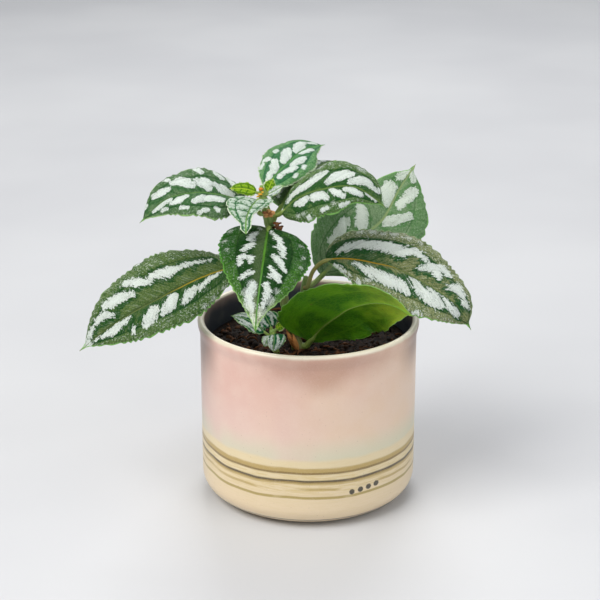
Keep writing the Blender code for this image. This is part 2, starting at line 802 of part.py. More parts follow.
def withered_flower(name, flower):
    """A short stalk with a small cluster of beads, as one shape."""
    start, outward = seat_on_stem(MAIN_STEM, flower.height, flower.middle, GAP)
    stalk_radius = flower.bead_radius * FLOWER_STALK_SHARE
    stalk = tube(name, [start, start + outward * MM, flower.middle], [stalk_radius] * 3, roundness=2)
    heading = (flower.middle - start).normalized()
    first = heading.orthogonal().normalized()
    second = heading.cross(first)
    beads = [bead(name + "_middle", flower.middle, flower.bead_radius)]
    for index in range(flower.beads):
        angle = 2 * math.pi * index / flower.beads
        spoke = first * math.cos(angle) + second * math.sin(angle)
        radius = flower.bead_radius * (BEAD_SHRINK if index % 2 else 1.0)
        place = flower.middle + spoke * flower.bead_radius * BEAD_SPREAD
        beads.append(bead(f"{name}_{index}", place, radius))
    return fuse(stalk, beads)


def leafy_spray(name, stem, leaves):
    """A small stem with its leaves, as one shape."""
    blades = []
    for index, leaf in enumerate(leaves):
        blades.append(loft(f"{name}_{index}", leaf_rings(leaf, -ROOT_SINK, SMALL_BLADE_SHARES)))
    return fuse(stem_tube(name, stem, roundness=2), blades)


def cut(piece, cutter):
    """Cut a cutter's shape out of a piece."""
    difference = piece.modifiers.new("hole for " + cutter.name, "BOOLEAN")
    difference.operation = "DIFFERENCE"
    difference.object = cutter
    difference.solver = "EXACT"


def make_surface(name):
    """A material from the table of surfaces."""
    colour, roughness = SURFACES[name]
    material = bpy.data.materials.new(name)
    material.use_nodes = True
    shader = material.node_tree.nodes["Principled BSDF"]
    shader.inputs["Base Color"].default_value = colour
    shader.inputs["Roughness"].default_value = roughness
    shader.inputs["Metallic"].default_value = 0.0
    material.diffuse_color = colour
    return material


def finish_piece(piece, collection, surface):
    """Put a piece in the collection, with its own material and smooth shading."""
    collection.objects.link(piece)
    piece.data.materials.clear()
    material = make_surface(surface)
    material.name = piece.name + "_" + surface
    piece.data.materials.append(material)
    piece.data.shade_smooth()
    piece.data.set_sharp_from_angle(angle=math.radians(SHARP_ANGLE))


def main():
    for old in list(bpy.data.objects):
        bpy.data.objects.remove(old)
    model = bpy.data.collections.new(OBJECT_NAME)
    cutters = bpy.data.collections.new(CUTTERS_NAME)
    bpy.context.scene.collection.children.link(model)
    bpy.context.scene.collection.children.link(cutters)

    finish_piece(turned("pot", pot_profile(), POT_SIDES), model, "glaze")

    soil = object_from_evaluated(turned("soil_turned", soil_profile(), POT_SIDES), "soil")
    roughen_soil(soil)
    finish_piece(soil, model, "soil")
    for name, stem in (("main_stem_hole", MAIN_STEM), ("soil_shoot_hole", SHOOT_STEM)):
        cutter = stem_tube(name, stem, extra=GAP)
        cutter.hide_render = True
        cutter.display_type = "WIRE"
        cutters.objects.link(cutter)
        cut(soil, cutter)

    finish_piece(stem_tube("main_stem", MAIN_STEM), model, "stem")
    finish_piece(stem_tube("side_branch", SIDE_BRANCH, roundness=3), model, "stem")
    for name, leaf in LEAVES.items():
        finish_piece(loft(name, leaf_rings(leaf, GAP, BLADE_SHARES)), model, "leaf")
    finish_piece(leafy_spray("growing_tip", TIP_STEM, TIP_LEAVES), model, "young_leaf")
    finish_piece(leafy_spray("soil_shoot", SHOOT_STEM, SHOOT_LEAVES), model, "leaf")
    for name, flower in FLOWERS.items():
        finish_piece(withered_flower(name, flower), model, "withered")


main()
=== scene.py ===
import math
import random
from functools import reduce
from operator import mul
from types import SimpleNamespace

import bmesh
import bpy
import numpy as np
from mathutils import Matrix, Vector, noise


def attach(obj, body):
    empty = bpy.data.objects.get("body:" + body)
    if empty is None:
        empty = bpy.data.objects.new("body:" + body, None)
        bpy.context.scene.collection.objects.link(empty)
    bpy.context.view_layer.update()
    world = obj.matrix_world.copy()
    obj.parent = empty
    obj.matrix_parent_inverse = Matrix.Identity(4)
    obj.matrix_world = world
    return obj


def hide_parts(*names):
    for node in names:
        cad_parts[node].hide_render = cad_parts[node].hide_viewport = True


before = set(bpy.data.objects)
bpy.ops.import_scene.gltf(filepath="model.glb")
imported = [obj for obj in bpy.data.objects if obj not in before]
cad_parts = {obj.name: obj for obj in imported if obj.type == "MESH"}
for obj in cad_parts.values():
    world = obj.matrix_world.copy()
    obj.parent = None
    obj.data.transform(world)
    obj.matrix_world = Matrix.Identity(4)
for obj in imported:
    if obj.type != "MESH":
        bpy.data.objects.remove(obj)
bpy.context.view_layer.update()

# Lengths are in millimetres, apart from those times MM and the light's, which are in metres
MM = 0.001
FULL_TURN = 2 * math.pi
TINY = 1e-9

# Camera
CAMERA_ELEVATION = math.radians(20.5)
CAMERA_DISTANCE = 700 * MM
CAMERA_TARGET = Vector((-3.4, 0.0, 81.6)) * MM
CAMERA_LENS = 103.74
CAMERA_SENSOR = 36.0
CAMERA_CLIP = (50 * MM, 20000 * MM)
FLOOR_REACH = 4000 * MM

# Light: place, size, power and colour of each lamp, and the even light of the studio
LIGHT_TARGET = Vector((0.0, 0.0, 0.08))
LIGHTS = {
    "key": ((-0.55, -0.45, 0.95), 0.75, 12.0, (1.0, 0.98, 0.95)),
    "fill": ((0.8, -0.5, 0.6), 0.9, 3.5, (0.95, 0.97, 1.0)),
    "back": ((0.1, 0.9, 0.9), 0.7, 6.5, (1.0, 1.0, 1.0)),
}
STUDIO_COLOUR = (0.88, 0.90, 0.93, 1.0)
STUDIO_STRENGTH = 0.42

# Smooth curves
SPAN_STEPS = 40
SEARCH_STEPS = 1200

# Pot and soil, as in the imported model
POT_HEIGHT = 75.0
POT_RIM_RADIUS = 45.0
POT_WALL_RADIUS = 44.0
POT_INNER_RADIUS = 41.5
POT_FOOT_RADIUS = 35.5
POT_FOOT_HEIGHT = 1.2
POT_FOOT_TAPER = 0.3
POT_CORNER_RADIUS = 7.5
POT_INNER_CORNER_RADIUS = 6.0
POT_FLOOR = 5.0
POT_FLARE_HEIGHT = 7.0
POT_LIP_RADIUS = 1.4
POT_SIDES = 200
FLOOR_RINGS = (12, 24)
INNER_CORNER_STEPS = 8
CORNER_STEPS = 12
FLARE_STEPS = 8
FLARE_START = 0.15
INNER_WALL_START = 18
INNER_WALL_RINGS = 12
OUTER_WALL_RINGS = 24
OUTER_WALL_MARGINS = (2, 3)
SOIL_EDGE_HEIGHT = 63.5
SOIL_MOUND = 1.5
SOIL_GAP = 0.3
SOIL_RADIUS = POT_INNER_RADIUS - SOIL_GAP
SOIL_SIDES = 220
SOIL_RINGS = 80
SOIL_WALL_HEIGHTS = (61.5, 59, 52, 40, 26)
SOIL_CORNER_STEPS = 6

# Unevenness of the soil's top: heights, how closely they follow each other, and the height
# at which the noise is read
LUMP_HEIGHT = 1.3
LUMP_SCALE = 0.16
ROUGHNESS_HEIGHT = 0.55
ROUGHNESS_SCALE = 0.75
WALL_DIP = 0.5
NOISE_HEIGHT = 3.0

# What lies on the soil
SOIL_SEED = 41
CRUMBS = 620
CRUMB_SIZES = (0.45, 0.6, 0.8, 1.1, 1.5)
CRUMB_SPREAD = (0.8, 1.2)
CRUMB_HEIGHTS = (-0.1, 0.35)
LARGE_CRUMB = 1.0
CRUMB_TINT_POWER = 3
CRUMB_MARGIN = 2.0
CHIP_SHARE = 0.35
LUMP_STRETCH = ((0.6, 1.3), (0.6, 1.3), (0.45, 0.9))
LUMP_DENTS = 0.45
LUMP_DENT_SCALE = 1.1
LUMP_SHIFT = 50
FIBRES = 150
FIBRE_LENGTHS = (3.0, 9.0)
FIBRE_BENDS = (-0.5, 0.5)
FIBRE_CURL = 3
FIBRE_RISES = (0.0, 1.2)
FIBRE_MARGIN = 5.0
FIBRE_WALL_GAP = 1.0
FIBRE_SIDES = 6
FIBRE_STEPS = 6
FIBRE_LIFT = 0.25
FIBRE_RADII = (0.14, 0.2, 0.3, 0.5)
FIBRE_TAPER = (0.5, 0.9, 1.0, 1.1, 1.0, 0.8, 0.4)

# The plain row of dots on the pot's front
DOTS = 4
DOT_TURN = 23.0
DOT_TURN_STEP = 4.9
DOT_HEIGHT = 15.6
DOT_RISE = 0.35
DOT_NARROWING = 1.2
DOT_EDGE = (1.35, 0.95)

# The brushed rings on the pot's cream band: height, half width, sway, colour, strength, and
# how far each fades in places
GOLD = (182, 154, 86)
GLAZE_RINGS = (
    (26.0, 1.1, 0.4, GOLD, 0.9, 0.0), (24.9, 0.45, 0.4, (128, 104, 52), 0.85, 0.1),
    (21.2, 0.66, 0.6, (74, 62, 40), 0.95, 0.1), (20.4, 0.6, 0.8, GOLD, 0.7, 0.2),
    (17.6, 0.5, 1.2, GOLD, 0.75, 0.5), (14.1, 0.55, 0.7, (170, 148, 78), 0.9, 0.15),
)

# Stems and stalks
NODE_REACH = 3.0
NODE_SWELL = 0.22
STEM_STEP = 0.7
LEAST_STEM_ROWS = 12
STEM_SIDES = 28
SMALL_STEM_SIDES = 16
STEM_RIDGES = 0.035
STEM_ROUGHNESS = 0.05
RIDGES_AROUND = 5
STALK_ROOT = 0.5
STALK_CLEAR = 1.3
STALK_ROWS = 16
STALK_SIDES = 14
SMALL_STALK_SIDES = 8
STALK_RIDGES = 0.03
STALK_FLARE = 0.35
STALK_FLARE_REACH = 1.2
RIB_STARTS = 0.12
RIB_SINKS = 0.07
RIB_ENDS = 0.93
RIB_END_SHARE = 0.25
RIB_TAPER = 0.7
SINK_SHARE = 0.75
SINK_MORE = 0.1
END_CAP = 0.4

# Leaf blades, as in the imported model
BODY_END = 0.95
DRIP_TIP_LENGTH = 0.12
DRIP_TIP_START = 0.3
DRIP_TIP_FULL = 0.55
TOOTH_DEPTH = 1.25
TOOTH_NOTCH = 0.3
TOOTH_UNEVENNESS = 0.45
TOOTH_BEATS = 4.3
TOOTH_SHIFT = 0.4
TOOTH_BACK_POWER = 1.2
TOOTH_EDGE_POWER = 6
WAVES = 2.5
WAVE_SHIFT = 0.35

# Veins: the lateral vein's share of the half width, where along the blade it swings out
# and back in, and how cross veins bow and how they run on past it
VEIN_SHARE = 0.58
VEIN_OPENS = 0.14
VEIN_CLOSES = 0.8
VEIN_PINCH = 0.35
LEAST_VEIN_SHARE = 0.02
CROSS_BOW = 0.85
CROSS_BEYOND = 0.9

# Finer relief and grids of the blades
BLADE_MIDDLE = 0.25
BLADE_EDGE = 0.12
EDGE_BLEND = 1.5
NARROW_SHARE = 0.35
NARROW_WIDTH = 2.0
LEAST_NORMAL = 1e-7
PUFF = 0.85
VEIN_SOFTNESS = 1.25
RUFFLE = 0.22
RUFFLE_EDGE_POWER = 8
ROWS_PER_MM = 1.6
LEAST_ROWS = 34
SMALL_ROWS = 40
BLADE_START = 0.004
BLADE_SPAN = 0.994
ROW_CROWDING = 1.15
COLUMN_CROWDING = 0.92
HALF_COLUMNS = 32
SMALL_HALF_COLUMNS = 14
FAR_AWAY = 9.0

# How far silver that isn't drawn stays from the blade's ends, as shares, and from veins
# and the edge, and how much further its outer parts reach toward cross veins
SILVER_STARTS = 0.03
SILVER_ENDS = 0.955
SILVER_OFF_VEIN = 0.55
SILVER_OFF_EDGE = 0.9
OUTER_OFF_VEIN = 0.5
OUTER_GROWTH = 0.4

# What most leaves have in common
PLAIN_LEAF = dict(
    stem="main", drip=(0.13, 0.13), tooth_scale=1.0, puff=1.0, rib_bulk=0.62, dust=([], []),
)
SMALL_LEAF = dict(
    facing=((0, -30, 90), (0, -30, 90)), half_widths=(4, 4), widest=(0.42, 0.42), tip_power=(0.8, 0.8),
    fold=(14, 14), arch=(30, 30), teeth=6, tooth_scale=0.6, wave=0.3, stalk_radius=0.6, slant=(0.1, 0.1),
    cross=((0.0, 0.28, 0.52, 0.76), (0.0, 0.26, 0.5, 0.75)), puff=0.45,
)

# How deep light goes into leaves and stalks
GLOW_DEPTH = 0.6 * MM

# The common leaf pattern, with its colours as screen values from 0 to 255
# Its darkening of each half toward the base is painted shade in the hollow there
GREEN = dict(
    ground=(46, 84, 44), olive=(92, 112, 70), band=(84, 112, 72), rib=(112, 142, 72), vein=(22, 64, 26),
    margin=(132, 188, 100), silver=(222, 230, 224), under=(116, 142, 88), under_vein=(150, 172, 112),
    under_dark=(92, 120, 70), strip=None, tip_tone=None, tip_amount=0.0, feather=1.1, ragged=2.2,
    grow=0.2, halo=0.0, weave=0.6, dull=0.14, grain=0.5, deep=(0.0, 0.0), deep_reach=(62.0, 20.0),
    net=0.45, clear=0.85, gap=1.0, inner=(0.13, 0.13), outer=1.1, speckle=0.5, rib_width=1.0,
    fill=(0.8, 0.8),
)


def leaf(**changes):
    """A leaf's measures, with the common ones filled in."""
    return SimpleNamespace(**{**PLAIN_LEAF, **changes})


def small_leaf(**changes):
    """The measures of one of a spray's small leaves."""
    return leaf(**{**SMALL_LEAF, **changes})


def look(**changes):
    """The common leaf pattern with some of it changed. Its tip is like the rest unless given."""
    values = {**GREEN, **changes}
    for part in ("rib", "margin", "band", "under"):
        values.setdefault(part + "_tip", values[part])
    return SimpleNamespace(**values)


# Stems in millimetres: points from the foot up, radius at the foot and at the top, and
# the heights at which something grows out.
STEMS = {
    "main": dict(
        points=[
            (-3, -12, 46), (-4, -12, 64), (-9, -10.5, 82), (-12, -9, 98), (-15, -8, 114),
            (-18, -7, 127),
        ],
        radii=(2.3, 1.5),
        growths=(66, 77, 103, 115, 117, 119.5, 121, 125, 125.5),
    ),
    "side": dict(
        points=[(-6.2, -8.8, 76.5), (-3.6, -6, 78.8), (-2.2, -2.5, 84), (-1, 2, 91)],
        radii=(1.5, 1.1),
        growths=(87, 88),
    ),
    "shoot": dict(
        points=[(-11.5, -17, 52), (-12.5, -16.5, 64), (-13.8, -15.6, 70), (-14.5, -15, 74.5)],
        radii=(1.4, 1.0),
        growths=(71.5, 73.2),
    ),
    "tip": dict(
        points=[(-18.0, -7, 126.6), (-18.4, -7.1, 129.5), (-18.5, -7.4, 132)],
        radii=(1.4, 0.7),
        growths=(128.7,),
    ),
}

# A leaf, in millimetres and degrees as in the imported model: the stem and the height at
# which it leaves it, points of its stalk and of its rib, the way its upper side faces at
# the base and at the tip, and for the halves left and right of the rib the half width,
# where it is widest, how bluntly it ends, its rise, and its bend. cross says where the
# cross veins leave the rib, as shares of its length, and slant how far on they end.
LEAVES = {
    "leaf_lower_left": leaf(
        height=103, stalk=[(-22, -11, 102), (-29, -12, 100)],
        rib=[(-42, -15, 96.5), (-58, -19, 89.5), (-75, -22, 80.5), (-90.5, -24, 69)],
        facing=((0, -60, 80), (-10, -60, 75)), half_widths=(16, 21), widest=(.42, .48),
        tip_power=(.85, .75), fold=(20, 20), arch=(45, 45), teeth=22, wave=.8, stalk_radius=1.1,
        cross=((0, .17, .31, .45, .58, .7, .84, .97), (-.02, .16, .34, .52, .7, .86)),
        slant=(.1, .16),
        look=look(
            ground=(26, 72, 20), olive=(104, 122, 66), band=(98, 122, 68), rib=(186, 164, 56),
            rib_tip=(120, 136, 76), inner=(.1, .22), outer=3, speckle=.8, rib_width=.7,
            fill=(.66, .72), feather=1.7, weave=.9, deep=(.75, 0),
        ),
    ),
    "leaf_upper_left": leaf(
        height=121, stalk=[(-20.5, -5.6, 122.6), (-25, -5.8, 124.6)],
        rib=[(-30.5, -7, 126.9), (-36, -8.8, 128.7), (-44, -11, 130), (-55, -13, 128), (-66, -14, 118.8)],
        facing=((10, -50, 85), (-40, -50, 70)), half_widths=(13, 13.5), widest=(.38, .41),
        tip_power=(1, .7), fold=(18, 18), arch=(45, 35), teeth=12, wave=.6, stalk_radius=.9,
        cross=((0, .33, .6, .86), (0, .16, .32, .58, .84)), slant=(.1, .12),
        look=look(
            ground=(58, 104, 58), olive=(108, 136, 94), band=(92, 124, 80), inner=(.07, .06), outer=.9,
            speckle=.5, feather=.7, ragged=.8, grow=.38, fill=(.86, .86), rib=(104, 144, 78),
            margin=(160, 200, 128), rib_width=.7,
        ),
    ),
    "leaf_top": leaf(
        height=125, stalk=[(-17.5, -4, 127), (-17, -2, 129)],
        rib=[(-12.5, 7, 132.5), (-7.5, 16, 135), (-2, 26, 137), (7, 35, 137)],
        facing=((-10, -45, 85), (0, -30, 95)), half_widths=(12.5, 11.5), widest=(.55, .42),
        tip_power=(.7, .9), fold=(14, 14), arch=(30, 35), teeth=10, wave=.5, stalk_radius=.9,
        cross=((0, .24, .46, .68, .88), (.05, .28, .47, .66, .84)), slant=(.2, .2),
        look=look(
            ground=(26, 104, 50), olive=(78, 142, 74), band=(104, 156, 88), vein=(20, 88, 50),
            margin=(206, 224, 186), rib=(92, 148, 74), inner=(.1, .1), outer=.9, speckle=.3,
            feather=.7, ragged=.9, grow=.6, fill=(.78, .78), gap=.6, rib_width=.9,
        ),
    ),
    "leaf_upper_right": leaf(
        height=119.5, stalk=[(-13, -8, 120), (-10.5, -9, 121.5)],
        rib=[(-4, -10, 127.5), (6, -11, 131.5), (18, -12, 132.5), (30, -13, 125)],
        facing=((-30, -50, 80), (40, -40, 70)), half_widths=(14, 13), widest=(.6, .36),
        tip_power=(.6, .85), fold=(14, 14), arch=(30, 50), teeth=12, wave=.6, stalk_radius=.9,
        cross=((-.02, .17, .4, .62, .84), (.06, .24, .4, .55, .72, .9)), slant=(.26, .08),
        look=look(
            ground=(34, 82, 30), olive=(92, 120, 64), band=(100, 126, 72), rib=(108, 134, 70),
            inner=(.12, .13), outer=2.3, speckle=.65, feather=.9, ragged=1.1, grow=.6,
            fill=(.76, .8), rib_width=1,
        ),
    ),
    "leaf_young_front": leaf(
        height=125.5, stalk=[(-19, -10.5, 127), (-19.8, -11.5, 127.3)],
        rib=[(-22.5, -17, 125.5), (-24, -23, 123), (-24, -30, 119.5)], facing=((4, -20, 90), (0, -60, 60)),
        half_widths=(9, 11), widest=(.12, .26), drip=(.28, .22), tip_power=(2.8, 1.9), fold=(29, 15),
        arch=(20, 30), teeth=10, wave=.5, stalk_radius=.8,
        cross=((0, .15, .3, .45, .6, .75, .9), (0, .14, .28, .42, .56, .7, .85)),
        slant=(.03, .03), puff=2.4,
        look=look(
            ground=(78, 132, 76), olive=(112, 152, 96), vein=(36, 96, 54), band=(96, 146, 92), clear=0,
            margin=(222, 232, 208), rib=(128, 172, 88), silver=(202, 216, 204), inner=(.05, .05),
            outer=.3, speckle=.3, feather=1.2, ragged=2.2, gap=.7, fill=(.8, .8), rib_width=.8,
            dull=.3, net=.85,
        ),
    ),
    "leaf_front": leaf(
        height=115, stalk=[(-15.2, -11.5, 114.4), (-15.8, -15, 116.8)],
        rib=[(-16.8, -27, 113), (-18, -40, 107), (-19.3, -53, 99), (-20, -61, 91.5)],
        facing=((0, -40, 90), (0, -60, 70)), half_widths=(18.5, 18.5), widest=(.33, .23),
        tip_power=(1.2, .95), fold=(10, 16), arch=(30, 30), teeth=20, tooth_scale=.75, wave=.7,
        stalk_radius=1.1, cross=((0, .16, .32, .48, .66, .98), (-.02, .13, .28, .43, .6, .98)),
        slant=(.14, .14),
        look=look(
            ground=(12, 60, 8), olive=(56, 94, 36), band=(28, 82, 14), vein=(8, 44, 6), rib=(88, 142, 44),
            rib_tip=(104, 158, 74), margin=(84, 152, 52), inner=(.2, .26), outer=4.2, speckle=.35,
            feather=1.5, halo=1.2, weave=.3, fill=(.66, .66), rib_width=.95, tip_tone=(206, 220, 168),
            tip_amount=.75, margin_tip=(168, 206, 128), band_tip=(78, 128, 44), strip=(92, 112, 70),
        ),
    ),
    "leaf_right": leaf(
        stem="side", height=87, stalk=[(2, -2, 95), (7, -3, 99.5)],
        rib=[(16, -4, 100.4), (26, -6, 99.3), (37, -9, 97), (57, -16, 86.5), (64.5, -18, 75.5)],
        facing=((-20, -60, 80), (30, -60, 70)), half_widths=(18.5, 17), widest=(.41, .55),
        tip_power=(.65, .65), fold=(20, 20), arch=(45, 45), teeth=24, wave=.8, stalk_radius=.85,
        cross=((-.1, .02, .24, .46, .66, .82, .96), (-.04, .14, .34, .5, .66, .8, .95)),
        slant=(.2, .2),
        look=look(
            ground=(26, 78, 34), olive=(148, 150, 102), band=(150, 156, 110), rib=(200, 156, 44),
            rib_tip=(108, 130, 74), inner=(.3, .18), outer=2.6, speckle=1, feather=2.6, weave=.9,
            grow=.4, deep=(.9, .25), deep_reach=(30, 12), fill=(.88, .8), gap=.5, rib_width=.7,
        ),
    ),
    "leaf_back_right": leaf(
        stem="side", height=88, stalk=[(2, 7, 86), (5.6, 14, 87)],
        rib=[(15, 20, 95), (24, 26, 101), (31.5, 31, 106.5), (38, 37, 117), (45, 41, 127)],
        facing=((-20, -80, 50), (10, -80, 50)), half_widths=(21, 19.5), widest=(.42, .55),
        tip_power=(.9, .75), fold=(14, 14), arch=(30, 35), teeth=14, wave=.8, stalk_radius=1.1,
        cross=((0, .22, .44, .66, .9), (.05, .3, .5, .7, .92)), slant=(.18, .14),
        look=look(
            ground=(100, 142, 90), olive=(142, 166, 128), band=(104, 146, 92), rib=(156, 176, 122),
            vein=(60, 104, 56), inner=(.16, .2), outer=4.2, speckle=.2, feather=1.6, ragged=1.9,
            grow=.3, gap=1.4, silver=(220, 230, 218), fill=(.72, .72), rib_width=1.5,
        ),
    ),
    "leaf_underside": leaf(
        height=66, stalk=[(-.5, -13, 67), (.5, -14, 69)],
        rib=[
            (5, -17, 76), (11, -20, 82), (16.5, -22.4, 86.6), (25, -25.8, 90), (33, -29, 90),
            (40.5, -32, 86.6),
        ],
        facing=((0, 80, 40), (0, 80, 40)), half_widths=(18, 20.5), widest=(.55, .24),
        tip_power=(.55, 1.1), fold=(12, 12), arch=(30, 20), teeth=14, wave=.7, stalk_radius=1.2,
        cross=((.05, .22, .4, .58, .78), (.05, .22, .4, .58, .78)), slant=(.14, .14),
        puff=.28, rib_bulk=.22,
        look=look(
            under=(84, 146, 4), under_vein=(120, 172, 28), under_dark=(46, 108, 2), under_tip=(158, 172, 46),
        ),
    ),
    "leaf_back": leaf(
        height=117, stalk=[(-13, -4, 119), (-11, 0, 121)],
        rib=[(-6, 12, 126), (0, 24, 128), (6, 32, 129), (12, 40, 129)], facing=((0, -20, 90), (10, -10, 90)),
        half_widths=(12, 12), widest=(.45, .45), tip_power=(.8, .8), fold=(12, 12), arch=(40, 40),
        teeth=10, wave=.5, stalk_radius=.9,
        cross=((0, .2, .4, .6, .8), (.05, .25, .45, .65, .85)), slant=(.12, .12),
        look=look(ground=(84, 116, 72), outer=1.2, speckle=.5),
    ),
}

